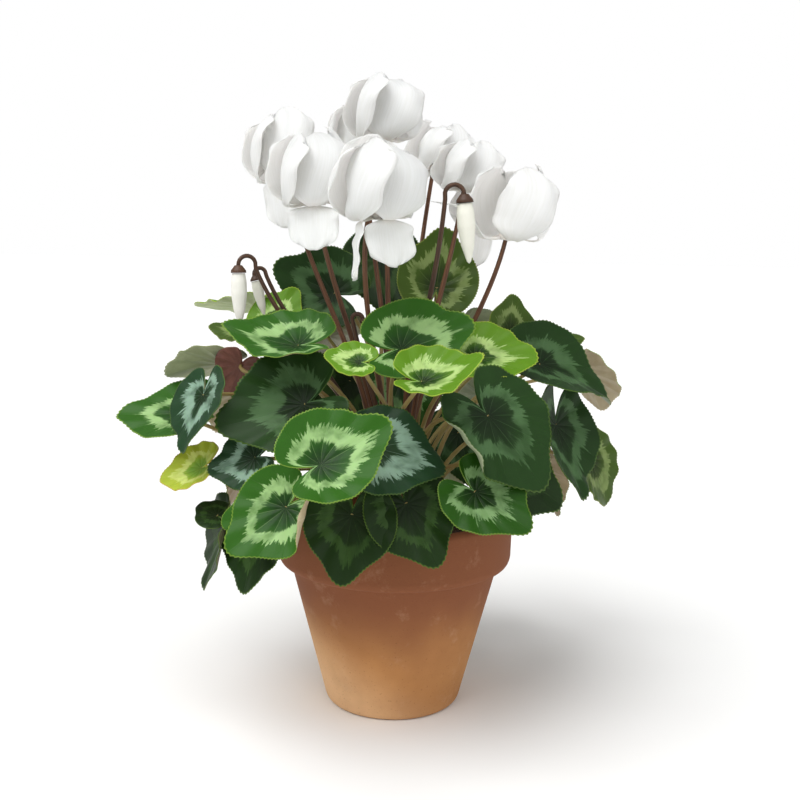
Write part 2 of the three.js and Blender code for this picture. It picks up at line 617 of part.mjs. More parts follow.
// ---------------------------------------------------------------- pot
const potProfile = [
  [DRAIN_RADIUS, 0],
  [POT_BASE_RADIUS - 1.5, 0],
  [POT_BASE_RADIUS, 1.5],
  [POT_BODY_TOP_RADIUS, POT_COLLAR_START],
  [POT_COLLAR_RADIUS - 1.6, POT_COLLAR_START + 0.6],
  [POT_COLLAR_RADIUS, POT_COLLAR_START + 4],
  [POT_COLLAR_RADIUS + 0.6, POT_HEIGHT - 2],
  [POT_COLLAR_RADIUS - 1.4, POT_HEIGHT],
  [POT_COLLAR_RADIUS - POT_WALL, POT_HEIGHT],
  [POT_COLLAR_RADIUS - POT_WALL - 1, POT_COLLAR_START + 6],
  [POT_BODY_TOP_RADIUS - POT_WALL, POT_COLLAR_START],
  [POT_BASE_RADIUS - POT_WALL + 1.4, POT_FLOOR],
  [DRAIN_RADIUS, POT_FLOOR],
  [DRAIN_RADIUS, 0],
];
addGeometry('pot', lathe(potProfile, POT_SIDES), 0xa0623f, 0.9);

// ---------------------------------------------------------------- soil, with a dip for the tuber
const soilProfile = [
  [0, POT_FLOOR + SEAT_GAP],
  [POT_BASE_RADIUS - POT_WALL + 1, POT_FLOOR + SEAT_GAP],
  [POT_BODY_TOP_RADIUS - POT_WALL - 0.5, POT_COLLAR_START],
  [POT_COLLAR_RADIUS - POT_WALL - 1.5, POT_COLLAR_START + 6],
  [POT_COLLAR_RADIUS - POT_WALL - 1.2, SOIL_TOP - 1],
  [48, SOIL_TOP + 1],
  [TUBER_RADIUS + 2, SOIL_TOP],
  [TUBER_RADIUS + 0.1, SOIL_TOP - 5],
  [20, TUBER_BOTTOM - SEAT_GAP],
  [0, TUBER_BOTTOM - SEAT_GAP],
];
addGeometry('soil', lathe(soilProfile, 20), 0x3a2a1e, 1);

// ---------------------------------------------------------------- tuber
const tuberProfile = [
  [0, TUBER_BOTTOM],
  [19.5, TUBER_BOTTOM],
  [TUBER_RADIUS - 0.6, SOIL_TOP - 5],
  [TUBER_RADIUS - 0.4, SOIL_TOP + 1],
  [CROWN_RADIUS, CROWN_Z],
  [0, CROWN_Z],
];
addGeometry('tuber', lathe(tuberProfile, 20), 0x5a4230, 0.95);

// ---------------------------------------------------------------- the plant, node by node
const firstOfNode = new Map();
for (const leaf of leaves) {
  if (!firstOfNode.has(leaf.node)) {
    firstOfNode.set(leaf.node, leaf);
  }
}
placeFeet([...firstOfNode.values(), ...blooms, ...buds]);
for (const leaf of leaves) {
  leaf.foot = firstOfNode.get(leaf.node).foot;
  leaf.ring = firstOfNode.get(leaf.node).ring;
}

for (const [node, first] of firstOfNode) {
  const bodies = leaves.filter((leaf) => leaf.node === node).map(leafSolid);
  addSolid(node, join(bodies), first.colour, 0.55);
}
for (const bloom of blooms) {
  addSolid(`bloom_${bloom.name}_petals`, petals(bloom), 0xf6f4f2, 0.6);
  addSolid(`bloom_${bloom.name}_stem`, bloomStem(bloom), 0x5b3526, 0.6);
}
for (const bud of buds) {
  if (bud.name === 'spent') {
    addSolid('bud_spent', budStem(bud).add(budShape(bud, SPENT_PROFILE)), 0x5b3526, 0.7);
  } else {
    addSolid(`bud_${bud.name}_petals`, budShape(bud, BUD_PROFILE), 0xefece2, 0.6);
    addSolid(`bud_${bud.name}_stem`, budStem(bud), 0x4a3226, 0.6);
  }
}

export default part;
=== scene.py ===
"""A cyclamen with white blooms in a terracotta pot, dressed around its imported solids.
Sizes are in millimetres and are turned to metres where a mesh is made."""
from collections import namedtuple
import math

import bpy
import numpy as np
from mathutils import Matrix, Vector


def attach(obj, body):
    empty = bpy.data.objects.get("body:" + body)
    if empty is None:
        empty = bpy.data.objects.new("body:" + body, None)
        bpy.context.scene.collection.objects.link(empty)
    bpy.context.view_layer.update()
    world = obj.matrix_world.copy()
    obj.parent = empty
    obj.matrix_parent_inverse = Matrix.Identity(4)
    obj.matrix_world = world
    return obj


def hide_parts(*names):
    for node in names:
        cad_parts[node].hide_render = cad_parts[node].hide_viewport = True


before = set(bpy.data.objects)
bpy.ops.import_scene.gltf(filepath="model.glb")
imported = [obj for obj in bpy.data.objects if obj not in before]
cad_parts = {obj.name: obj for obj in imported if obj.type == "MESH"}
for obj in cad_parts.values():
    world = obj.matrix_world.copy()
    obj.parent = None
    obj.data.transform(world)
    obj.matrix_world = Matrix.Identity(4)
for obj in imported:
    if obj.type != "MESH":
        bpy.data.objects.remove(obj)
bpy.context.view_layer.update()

# ------------------------------------------------------------------------------------ the pot
# A flower pot of unglazed earthenware, pressed in a mould and fired, with a thick collar round
# its mouth and a drain hole in its floor. It stands on the floor and holds the soil.
MILLIMETRE = 0.001
POT_BASE_RADIUS = 41
POT_BODY_TOP_RADIUS = 62.7
POT_COLLAR_RADIUS = 70
POT_COLLAR_START = 86
POT_HEIGHT = 118
POT_WALL = 5
POT_FLOOR = 7
DRAIN_RADIUS = 6
POT_COLUMNS = 144
WALL_WANDER = 0.2
# Where the pot turns browner high up: damp near the soil, and painted shade for the leaves' shadow.
DAMP_AND_SHADE_LINE = 57
DAMP_AND_SHADE_BELOW = 24
DAMP_AND_SHADE_ABOVE = 34
DAMP_AND_SHADE_DRIFT = 22
# Where the pot is paler low on the left: painted light, as if lit from that side.
PAINTED_LIGHT_LEAN = 0.7
PAINTED_LIGHT_START = -35
PAINTED_LIGHT_END = 20
DRIFT_WIDTH = 36
CLOUD_WIDTH = 62
CHALK_WIDTH = 24
GRIT_WIDTH = 1.11
MOULD_LINE_PITCH = 3.85
MOULD_LINE_LENGTH = 167


def linear(hex_colour):
    """An sRGB hex colour as linear red, green, blue and a full alpha."""
    parts = [int(hex_colour[i:i + 2], 16) / 255 for i in (1, 3, 5)]
    return [p / 12.92 if p <= 0.04045 else ((p + 0.055) / 1.055) ** 2.4 for p in parts] + [1]


def node_adder(tree):
    """The function that adds a node to this tree."""
    def add(kind, inputs=(), output=0, **settings):
        """Adds a shader node with its settings and gives one of its outputs, or all of them where
        output is None. The inputs are a list in the sockets' order, or a dict by name or number:
        one that is a socket is linked and any other value is set."""
        node = tree.nodes.new("ShaderNode" + kind)
        for setting, value in settings.items():
            setattr(node, setting, value)
        for socket, value in inputs.items() if isinstance(inputs, dict) else enumerate(inputs):
            if isinstance(value, bpy.types.NodeSocket):
                tree.links.new(value, node.inputs[socket])
            else:
                node.inputs[socket].default_value = value
        return node.outputs if output is None else node.outputs[output]

    return add


def new_material(name):
    """An empty node material and the function that adds a node to it: (material, add)."""
    material = bpy.data.materials.new(name)
    material.use_nodes = True
    material.node_tree.nodes.clear()
    return material, node_adder(material.node_tree)


SMOOTH = {"interpolation_type": "SMOOTHSTEP"}


def layered(add, base, layers):
    """The base colour with the colour of each layer laid over it in turn, by the layer's share."""
    colour = linear(base)
    for share, tone in layers:
        colour = add("Mix", {0: share, 6: colour, 7: linear(tone)}, 2, data_type="RGBA")
    return colour


def end_material(add, colour, height, strength, depth, inputs):
    """Ends a material with a principled surface of this colour and these inputs, its shading
    raised by the height pattern, which is depth millimetres deep."""
    relief = add("Bump", {"Height": height, "Strength": strength, "Distance": depth * MILLIMETRE})
    surface = add("BsdfPrincipled", {"Base Color": colour, "Normal": relief, **inputs})
    add("OutputMaterial", [surface], None)


def grid_quads(rows, columns, closed, turned_over=False):
    """The quads of a grid of points numbered row by row; closed joins its last column to its
    first. They face along (way of the rows) x (way of the columns)."""
    i = np.arange(rows - 1)[:, None] * columns
    j = np.arange(columns if closed else columns - 1)[None, :]
    k = (j + 1) % columns
    quads = np.stack([i + j, i + columns + j, i + columns + k, i + k], axis=-1).reshape(-1, 4)
    return quads[:, ::-1] if turned_over else quads


def fan(centre, ring, turned_over=False):
    """Triangles from one point to each side of a closed ring of points."""
    triangles = np.stack([np.full(len(ring), centre), ring, np.roll(ring, -1)], axis=-1)
    return triangles[:, ::-1] if turned_over else triangles


def make_piece(name, shells, materials):
    """One smooth object at the origin from closed shells. A shell is (points in millimetres,
    list of face arrays, material number of each array, three values kept at each point)."""
    points, faces, numbers, marks = [], [], [], []
    start = 0
    for shell_points, face_arrays, shell_numbers, shell_marks in shells:
        points.append(shell_points)
        marks.append(shell_marks)
        for array, number in zip(face_arrays, shell_numbers):
            faces.extend((array + start).tolist())
            numbers.append(np.full(len(array), number, dtype=np.int32))
        start += len(shell_points)
    mesh = bpy.data.meshes.new(name)
    mesh.from_pydata(np.concatenate(points) * MILLIMETRE, [], faces)
    mesh.polygons.foreach_set("material_index", np.concatenate(numbers))
    mesh.polygons.foreach_set("use_smooth", np.ones(len(faces), dtype=bool))
    place = mesh.attributes.new("place", "FLOAT_VECTOR", "POINT")
    place.data.foreach_set("vector", np.concatenate(marks).astype(np.float32).ravel())
    for material in materials:
        mesh.materials.append(material)
    mesh.update()
    made = bpy.data.objects.new(name, mesh)
    bpy.context.scene.collection.objects.link(made)
    return made


def stands_for(made, slot, *nodes):
    """The piece rides with the part and hides the solids it stands for; its slot is not used."""
    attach(made, "root")
    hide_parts(*nodes)


def rounded(corners, radius, steps):
    """A closed or open outline with each corner replaced by an arc-like curve: points on the
    quadratic curve from a little before the corner to a little after it."""
    corners = np.array(corners, dtype=float)
    line = [corners[:1]]
    for before, corner, after in zip(corners[:-2], corners[1:-1], corners[2:]):
        back = before - corner
        ahead = after - corner
        reach_back = min(radius, 0.45 * np.linalg.norm(back))
        reach_ahead = min(radius, 0.45 * np.linalg.norm(ahead))
        a = corner + back / np.linalg.norm(back) * reach_back
        b = corner + ahead / np.linalg.norm(ahead) * reach_ahead
        t = np.linspace(0, 1, steps)[:, None]
        line.append((1 - t) ** 2 * a + 2 * t * (1 - t) * corner + t ** 2 * b)
    line.append(corners[-1:])
    return np.concatenate(line)


pot_outline = rounded([
    (DRAIN_RADIUS, 0),
    (POT_BASE_RADIUS - 1.5, 0),
    (POT_BASE_RADIUS, 1.5),
    (POT_BODY_TOP_RADIUS, POT_COLLAR_START),
    (POT_COLLAR_RADIUS - 1.6, POT_COLLAR_START + 0.6),
    (POT_COLLAR_RADIUS, POT_COLLAR_START + 4),
    (POT_COLLAR_RADIUS + 0.6, POT_HEIGHT - 2),
    (POT_COLLAR_RADIUS - 1.4, POT_HEIGHT),
    (POT_COLLAR_RADIUS - POT_WALL, POT_HEIGHT),
    (POT_COLLAR_RADIUS - POT_WALL - 1, POT_COLLAR_START + 6),
    (POT_BODY_TOP_RADIUS - POT_WALL, POT_COLLAR_START),
    (POT_BASE_RADIUS - POT_WALL + 1.4, POT_FLOOR),
    (DRAIN_RADIUS, POT_FLOOR),
    (DRAIN_RADIUS, 0),
], 1.6, 5)


def pot_points():
    """The outline turned about Z. The wall wanders in and out by a fifth of a millimetre: two
    sine waves, three and five to the round, that lean as they go up."""
    angle = np.linspace(0, 2 * np.pi, POT_COLUMNS, endpoint=False)[None, :]
    radius = pot_outline[:-1, 0:1]
    height = pot_outline[:-1, 1:2]
    wander = 0.6 * np.sin(3 * angle + height / 17) + 0.4 * np.sin(5 * angle - height / 9)
    radius = radius + WALL_WANDER * wander * (radius > POT_BASE_RADIUS - 1)
    across = radius * np.cos(angle)
    along = radius * np.sin(angle)
    upward = np.broadcast_to(height, across.shape)
    return np.stack([across, along, upward], axis=-1)


# Terracotta: iron-red earthenware fired without a glaze. It is matt and slightly sandy, browner
# high up, where it is damp near the soil and where painted shade stands for the leaves' shadow,
# paler and yellower low down on the left with painted light from that side, with thin chalky bloom
# in patches, and faint lines from the mould run round it. Its grit is drawn coarser than it is, so
# that it shows.
terracotta, add = new_material("unglazed_terracotta")
place = add("TexCoord", output="Object")
axes = add("SeparateXYZ", [place], None)
drift = add("TexNoise", {"Vector": place, "Scale": 1000 / DRIFT_WIDTH, "Detail": 3.0})
# Browner above a wandering line: damp near the soil, and painted shade for the leaves' shadow on the
# pot.
damp_and_shade_edge = add("Math", [drift, DAMP_AND_SHADE_DRIFT * MILLIMETRE, axes["Z"]], operation="MULTIPLY_ADD")
damp_and_shade_start = (DAMP_AND_SHADE_LINE - DAMP_AND_SHADE_BELOW) * MILLIMETRE
damp_and_shade_end = (DAMP_AND_SHADE_LINE + DAMP_AND_SHADE_ABOVE) * MILLIMETRE
damp_and_shade = add("MapRange", [damp_and_shade_edge, damp_and_shade_start, damp_and_shade_end], **SMOOTH)
# Paler and yellower low on the left: painted light from the left side.
leftward = add("Math", [axes["X"], -PAINTED_LIGHT_LEAN], operation="MULTIPLY")
low_left = add("Math", [leftward, axes["Z"]], operation="SUBTRACT")
painted_light_low_left = add("MapRange", [low_left, PAINTED_LIGHT_START * MILLIMETRE, PAINTED_LIGHT_END * MILLIMETRE], **SMOOTH)
clouds = add("TexNoise", {"Vector": place, "Scale": 1000 / CLOUD_WIDTH, "Detail": 4.0,
                          "Roughness": 0.6})
cloud = add("MapRange", [clouds, 0.35, 0.7, 0, 0.3], **SMOOTH)
flecks = add("TexNoise", {"Vector": place, "Scale": 1000 / CHALK_WIDTH, "Detail": 6.0,
                          "Roughness": 0.72})
chalk = add("MapRange", [flecks, 0.56, 0.72, 0, 0.16], **SMOOTH)
grit = add("TexNoise", {"Vector": place, "Scale": 1000 / GRIT_WIDTH})
speck = add("MapRange", [grit, 0.64, 0.74, 0, 0.35], **SMOOTH)
colour = layered(add, "#bf8852", [(damp_and_shade, "#845033"), (painted_light_low_left, "#e9bd8e"), (cloud, "#7b4b2e"),
                                  (chalk, "#d9b393"), (speck, "#6d3d28")])
line_scale = (1000 / MOULD_LINE_LENGTH, 1000 / MOULD_LINE_LENGTH, 1000 / MOULD_LINE_PITCH)
lengthened = add("Mapping", {"Vector": place, "Scale": line_scale})
mould_lines = add("TexNoise", {"Vector": lengthened, "Scale": 1.0})
height = add("Math", [mould_lines, 0.6, grit], operation="MULTIPLY_ADD")
end_material(add, colour, height, 0.35, 0.4, {"Roughness": 0.85, "Specular IOR Level": 0.3})

pot_grid = pot_points()
pot_mesh_points = pot_grid.reshape(-1, 3)
pot_quads = grid_quads(len(pot_grid) + 1, POT_COLUMNS, True, turned_over=True)
pot_quads %= len(pot_mesh_points)
pot = make_piece("pot_dressed", [
    (pot_mesh_points, [pot_quads], [0], np.zeros_like(pot_mesh_points)),
], [terracotta])
stands_for(pot, "terracotta", "pot")

# ------------------------------------------------------------------------------------ the soil
# Peat potting soil, pressed in by hand and lumpy on top. It fills the pot up to a finger's width
# under the rim, with a hollow where the tuber sits.
SEAT_GAP = 0.3
SOIL_TOP = 104
TUBER_RADIUS = 29
TUBER_BOTTOM = 88
ROUND_COLUMNS = 96
SOIL_EDGE = 63
SOIL_LUMP = 9
SOIL_LUMP_HEIGHT = 1.1
SOIL_SEED = 5
CRUMB_WIDTH = 2.4
PEAT_WIDTH = 4.2
UPRIGHT = (np.array([0, 0, 1]), np.array([1, 0, 0]), np.array([0, 1, 0]))


def lumps(angle, radius, seed, size):
    """A lumpy height from -1 to 1: the mean of eight sine waves running across the surface in
    seeded directions, a lump being about size millimetres wide."""
    rng = np.random.default_rng(seed)
    across = radius * np.cos(angle)
    along = radius * np.sin(angle)
    total = np.zeros(np.broadcast(angle, radius).shape)
    for way, phase, stretch in rng.random((8, 3)):
        wave = across * math.cos(2 * math.pi * way) + along * math.sin(2 * math.pi * way)
        total += np.sin(wave * 2 * math.pi / (size * (0.7 + 0.8 * stretch)) + 6.28 * phase)
    return total / 4


def turned_shell(outline, columns, stir, axes=UPRIGHT, at=0, mark=(0, 0, 0)):
    """A closed shell turned about an axis, from outline points (radius, height) that start and
    end on it. stir gives (factor on the radius, change of height) for (angle, radius, height).
    axes are the axis and two directions square to it, and mark is kept at every point."""
    axis, first, second = axes
    angle = np.linspace(0, 2 * np.pi, columns, endpoint=False)[None, :]
    radius = outline[1:-1, 0:1]
    height = outline[1:-1, 1:2]
    factor, rise = stir(angle, radius, height)
    across = np.cos(angle)[..., None] * first + np.sin(angle)[..., None] * second
    ring = at + (radius * factor)[..., None] * across + (height + rise)[..., None] * axis
    ends = np.array([at + outline[0, 1] * axis, at + outline[-1, 1] * axis])
    rows = len(radius)
    faces = [
        grid_quads(rows, columns, True, turned_over=True),
        fan(rows * columns, np.arange(columns), turned_over=True),
        fan(rows * columns + 1, (rows - 1) * columns + np.arange(columns)),
    ]
    marks = np.tile(np.array([mark], dtype=float), (rows * columns + 2, 1))
    return np.concatenate([ring.reshape(-1, 3), ends]), faces, [0, 0, 0], marks


def dense(corners, step):
    """The outline through the corners with points about step millimetres apart."""
    corners = np.array(corners, dtype=float)
    line = [corners[:1]]
    for a, b in zip(corners[:-1], corners[1:]):
        count = max(1, int(round(np.linalg.norm(b - a) / step)))
        t = (np.arange(count) + 1)[:, None] / count
        line.append(a + (b - a) * t)
    return np.concatenate(line)


def soil_stir(angle, radius, height):
    """Lumps on the top of the soil only, fading out at the wall and at the tuber."""
    on_top = np.clip((height - SOIL_TOP + 0.5) / 0.5, 0, 1)
    off_tuber = np.clip((radius - TUBER_RADIUS - 3) / 3, 0, 1)
    off_wall = np.clip((SOIL_EDGE - radius) / 4, 0, 1)
    uneven = lumps(angle, radius, SOIL_SEED, SOIL_LUMP)
    return 1, SOIL_LUMP_HEIGHT * on_top * off_tuber * off_wall * uneven


soil_outline = dense([
    (0, POT_FLOOR + SEAT_GAP),
    (POT_BASE_RADIUS - POT_WALL + 1, POT_FLOOR + SEAT_GAP),
    (POT_BODY_TOP_RADIUS - POT_WALL - 0.5, POT_COLLAR_START),
    (POT_COLLAR_RADIUS - POT_WALL - 1.5, POT_COLLAR_START + 6),
    (POT_COLLAR_RADIUS - POT_WALL - 1.2, SOIL_TOP - 1),
    (48, SOIL_TOP + 1),
    (TUBER_RADIUS + 2, SOIL_TOP),
    (TUBER_RADIUS + 0.1, SOIL_TOP - 5),
    (20, TUBER_BOTTOM - SEAT_GAP),
    (0, TUBER_BOTTOM - SEAT_GAP),
], 2.2)

# Peat: dark, matt and fibrous, with paler crumbs a few millimetres wide.
peat, add = new_material("potting_peat")
place = add("TexCoord", output="Object")
crumbs = add("TexVoronoi", {"Vector": place, "Scale": 1000 / CRUMB_WIDTH})
tone = add("TexNoise", {"Vector": place, "Scale": 1000 / PEAT_WIDTH, "Detail": 5.0, "Roughness": 0.7})
pale = add("MapRange", [tone, 0.35, 0.75], **SMOOTH)
colour = layered(add, "#1d140d", [(pale, "#5b4330")])
end_material(add, colour, crumbs, 0.9, 1, {"Roughness": 0.95})

soil = make_piece("soil_dressed", [turned_shell(soil_outline, ROUND_COLUMNS, soil_stir)], [peat])
stands_for(soil, "soil", "soil")

# ------------------------------------------------------------------------------------ the tuber
# The plant's corky tuber, a flattened ball half buried in the soil. Its flat crown carries every
# leaf stalk and flower stem.
CROWN_Z = 111
CROWN_RADIUS = 24
CORK_WIDTH = 4.2
WART_WIDTH = 7
WART_HEIGHT = 0.5
WART_SEED = 11


def tuber_stir(angle, radius, height):
    """Shallow warts on the shoulder; the crown stays flat under the stalks."""
    shoulder = np.exp(-((height - SOIL_TOP) / 4.0) ** 2)
    return 1, WART_HEIGHT * shoulder * lumps(angle, radius, WART_SEED, WART_WIDTH)


tuber_outline = dense([
    (0, TUBER_BOTTOM),
    (19.5, TUBER_BOTTOM),
    (TUBER_RADIUS - 0.6, SOIL_TOP - 5),
    (TUBER_RADIUS - 0.4, SOIL_TOP + 1),
    (CROWN_RADIUS, CROWN_Z),
    (0, CROWN_Z),
], 2.0)

# Cork: grey-brown, dry and cracked in scales a few millimetres wide.
cork, add = new_material("tuber_cork")
place = add("TexCoord", output="Object")
scales = add("TexVoronoi", {"Vector": place, "Scale": 1000 / CORK_WIDTH}, feature="DISTANCE_TO_EDGE")
whole = add("MapRange", [scales, 0.0, 0.12], **SMOOTH)
colour = layered(add, "#2f2118", [(whole, "#6b5240")])
end_material(add, colour, scales, 0.7, 1.2, {"Roughness": 0.9})

tuber = make_piece("tuber_dressed", [turned_shell(tuber_outline, ROUND_COLUMNS, tuber_stir)], [cork])
stands_for(tuber, "tuber", "tuber")

# ------------------------------------------------------------------------------------ the plan
# Every leaf stalk and flower stem grows from the crown, on one of four rings and on the side that
# it leans to. These rows say where each goes; the feet are pushed apart until all have room.
FOOT_RINGS = (4.6, 9.6, 14.8, 20.4)
FOOT_SPACING = 4.6
PUSHES = 200

# A leaf: its node and kind, the junction of stalk and blade, facing (face, lift, clock) in degrees,
# the length from there to the tip, form (cup, fold, droop), stalk (foot ring, rise, bow) and rolls
# of (direction, start, radius).
Leaf = namedtuple("Leaf", "node kind junction facing length form stalk rolls")
LEAF_ROWS = [
    ("front_heart", "green", (-36, -115, 167), (0, 38, 118), 36, (0.3, 0.1, 0.05), (3, 0.5, 6), ()),
    ("front_blue", "blue", (-10, -88, 170), (4, 36, 78), 35, (0.05, 0, 0.3), (3, 0.5, 0), ()),
    ("rim", "dark", (-22, -89, 135), (-6, 22, -6), 34, (0.1, 0, 0.12), (3, 0.5, 0), ()),
    ("rim", "dark", (6, -87, 141), (8, 24, 24), 34, (0.1, 0, 0.1), (3, 0.5, 0), ()),
    ("low_right", "green", (41, -92, 149), (8, 36, 48), 32, (0.26, 0, 0.12), (3, 0.5, 0), ()),
    ("front_large", "dark", (47, -85, 187), (22, 30, 32), 44, (0.1, 0, 0.15), (2, 0.6, 0),
     ((-95, 0.4, 0.2),)),
    ("under_large", "dark", (58, -66, 158), (30, 26, 50), 38, (0.1, 0, 0.12), (3, 0.5, 0), ()),
    ("dark_hollow", "dark", (91, -25, 173), (54, 18, -10), 42, (0.36, 0, 0.1), (3, 0.5, 0), ()),
    ("far_right", "olive", (116, -1, 148), (50, 15, 28), 31, (0.05, 0.25, 0.1), (3, 0.5, 0), ()),
    ("far_right", "olive", (93, 34, 217), (20, 66, 90), 24, (0, 0, 0), (2, 0.6, 0), ()),
    ("right_large", "dark", (82, -18, 207), (28, 58, 62), 45, (0, 0.35, 0.2), (2, 0.6, 0), ()),
    ("lime_right", "lime", (42, -51, 214), (12, 52, 82), 32, (0.2, 0.12, 0.05), (2, 0.6, 0), ()),
    ("lime_cup", "lime", (13, -91, 205), (0, 58, 92), 28, (0.5, 0, 0), (2, 0.6, 0), ()),
    ("lime_cup", "lime", (-19, -88, 214), (-5, 50, -95), 17, (0.25, 0, 0), (2, 0.6, -10), ()),
    ("front_silver", "green", (2, -55, 218), (0, 44, 104), 38, (0.3, 0.1, 0), (2, 0.6, 8), ()),
    ("flat_left", "green", (-55, -45, 218), (-10, 66, -88), 38, (0.28, 0.1, 0), (2, 0.6, 0), ()),
    ("large_left", "dark", (-50, -58, 187.5), (-12, 36, -62), 44, (0.38, 0, 0.1), (2, 0.6, 0), ()),
    ("round_left", "blue", (-104, -57, 191), (-48, 26, 8), 31, (0.2, 0, 0.1), (3, 0.5, 0), ()),
    ("far_left", "green", (-119.5, -29, 177), (-22, 60, -74), 38, (0.15, 0.1, 0.1), (3, 0.5, 0), ()),
    ("yellow", "yellow", (-107, -51, 150), (-45, 45, -55), 24, (0.2, 0.1, 0), (3, 0.5, 0), ()),
    ("dark_left", "blue", (-75, -69, 160), (-28, 26, -66), 25, (0.2, 0, 0), (3, 0.5, -8), ()),
    ("folded", "green", (-54, -107, 143), (-12, 24, -45), 33, (0.2, 0, 0.05), (3, 0.5, -8),
     ((130, 0.25, 0.2),)),
    ("folded", "green", (-69, -91, 134), (-30, 24, -75), 22, (0.15, 0, 0.05), (3, 0.5, -8), ()),
    ("low_left", "dark", (-73, -71, 120), (-36, 18, 2), 31, (0.15, 0, 0.05), (3, 0.5, 0), ()),
    ("low_left", "dark", (-94, -50, 116), (-72, 14, 0), 34, (0.1, 0.2, 0.05), (3, 0.5, 0), ()),
    ("low_left", "dark", (-97, -60, 126), (-10, 60, -120), 15, (0, 0, 0), (3, 0.5, 0), ()),
    ("grey_left", "olive", (-101, -14, 204), (180, 62, 80), 33, (0, 0.1, 0.1), (2, 0.6, -6), ()),
    ("grey_left", "olive", (-89, -4, 223), (-20, 70, -85), 22, (0.05, 0, 0), (2, 0.6, 0), ()),
    ("burgundy", "red", (-88, -30, 205), (165, 30, 30), 21, (0, 0, 0.1), (2, 0.6, 0), ()),
    ("lime_left", "lime", (-76, 15, 227), (-10, 40, 150), 24, (0.2, 0, 0), (2, 0.6, 0), ()),
    ("lime_left", "lime", (-90, 42, 234), (180, 76, 80), 38, (0.1, 0, 0.1), (2, 0.6, 0), ()),
    ("upper_left", "dark", (-41, 39, 244), (0, 22, -112), 38, (0.2, 0, 0), (1, 0.6, 0), ()),
    ("upper_right", "olive", (23, 28, 249), (2, 20, 172), 35, (0.25, 0, 0.05), (2, 0.6, -6), ()),
    ("upper_right", "olive", (67, 9, 223), (20, 20, 172), 22, (0.1, 0.2, 0), (2, 0.6, 0), ()),
    ("back_far_right", "green", (129, 108.5, 190), (122, 38, 10), 39, (0.2, 0, 0.1), (3, 0.5, 0), ()),
    ("back_far_right", "green", (91, 30, 138), (110, 20, 0), 34, (0.15, 0, 0.1), (3, 0.5, 0), ()),
    ("back_right", "dark", (61, 96, 171), (150, 34, 10), 40, (0.2, 0, 0.1), (3, 0.5, 0), ()),
    ("back_right", "dark", (34, 91, 134), (160, 20, 0), 34, (0.15, 0, 0.1), (3, 0.5, 0), ()),
    ("back_right", "dark", (40, 50, 154), (18, 24, 10), 34, (0.15, 0, 0.1), (3, 0.5, 0), ()),
    ("back_middle", "green", (2, 106, 171), (180, 34, 10), 40, (0.2, 0, 0.1), (3, 0.5, 0), ()),
    ("back_middle", "dark", (2, 62, 186), (2, 26, 10), 38, (0.15, 0, 0.1), (3, 0.5, 0), ()),
    ("back_left", "dark", (-61, 90, 177), (210, 34, -10), 40, (0.2, 0, 0.1), (3, 0.5, 0), ()),
    ("back_left", "dark", (-36, 89, 134), (200, 20, 0), 34, (0.15, 0, 0.1), (3, 0.5, 0), ()),
    ("back_left", "dark", (-32, 70, 184), (-4, 24, -10), 34, (0.12, 0, 0.1), (3, 0.5, 0), ()),
    ("back_far_left", "green", (-98, 45, 181), (245, 34, -10), 38, (0.2, 0, 0.1), (3, 0.5, 0), ()),
    ("back_far_left", "green", (-91, 20, 140), (256, 20, 0), 34, (0.15, 0, 0.1), (3, 0.5, 0), ()),
    ("back_high_left", "dark", (-47, 65, 215), (205, 54, 0), 40, (0.2, 0, 0.1), (2, 0.6, 0), ()),
    ("back_high_left", "dark", (-12, 74, 266), (0, 20, 8), 38, (0.15, 0, 0.05), (1, 0.6, 0), ()),
    ("back_high_right", "dark", (42, 65, 220), (160, 54, 0), 40, (0.2, 0, 0.1), (2, 0.6, 14), ()),
]

# A bloom: its name, the middle of its mouth, tilt, form of its petals (length, width, twist, curl),
# the side its stem is on, foot ring, bow of the stem, and the petals that are unlike the rest, such
# as those dropped open: (place, turn, curl, length, width).
Bloom = namedtuple("Bloom", "name mouth tilt form side ring bow others")
BLOOM_ROWS = [
    ("far_left", (-69, 24, 311), (-0.12, 0.1), (55, 34, 26, 66), 84, 1, -3, ((7, -66, -10, 40, 29),)),
    ("left", (-47, -34, 294), (-0.05, -0.1), (55, 34, 26, 66), 92, 1, 0, ((7, -40, -15, 34, 34),)),
    ("top", (-9, 6, 333), (0, 0), (52, 38, 26, 72), 90, 0, 0, ()),
    ("back_left", (-25, 60, 330), (-0.1, 0.15), (44, 34, 26, 62), 270, 1, 0, ()),
    ("centre", (-11, -68, 286), (0, -0.1), (57, 38, 26, 74), 115, 0, -14,
     ((6, -72, 0, 40, 12), (7, -56, 0, 30, 26))),
    ("back_right", (23, 54, 318), (0.1, 0.15), (44, 34, 26, 62), 250, 1, -4, ((9, -72, 0, 38, 18),)),
    ("right", (38, 6, 305), (0.08, 0), (39, 31, 26, 62), 96, 0, 0, ((8, -66, 0, 30, 20),)),
    ("far_right", (60, -34, 277), (0.08, -0.05), (55, 35, 26, 60), 92, 1, 0, ((1, 60, -46, 50, 24),)),
    ("low_back", (52, 58, 284), (0.15, 0.15), (42, 33, 26, 58), 225, 0, 8, ((5, -66, 0, 36, 22),)),
]

# A bud: its name, the top of its calyx, the way it hangs, the side its stem is on, hook radius,
# scale and foot ring.
Bud = namedtuple("Bud", "name top hang side hook scale ring")
BUD_ROWS = [
    ("far_left", (-90, -25, 261), (0.02, 0, -1), 25, 5, 0.95, 1),
    ("left", (-83, -12, 255), (0.25, 0, -1), 25, 3.5, 0.66, 1),
    ("right", (33, -62, 300), (0.1, 0, -1), 180, 5, 1, 0),
    ("spent", (-20, -30, 233), (0.3, 0, -1), 180, 3, 0.5, 1),
]


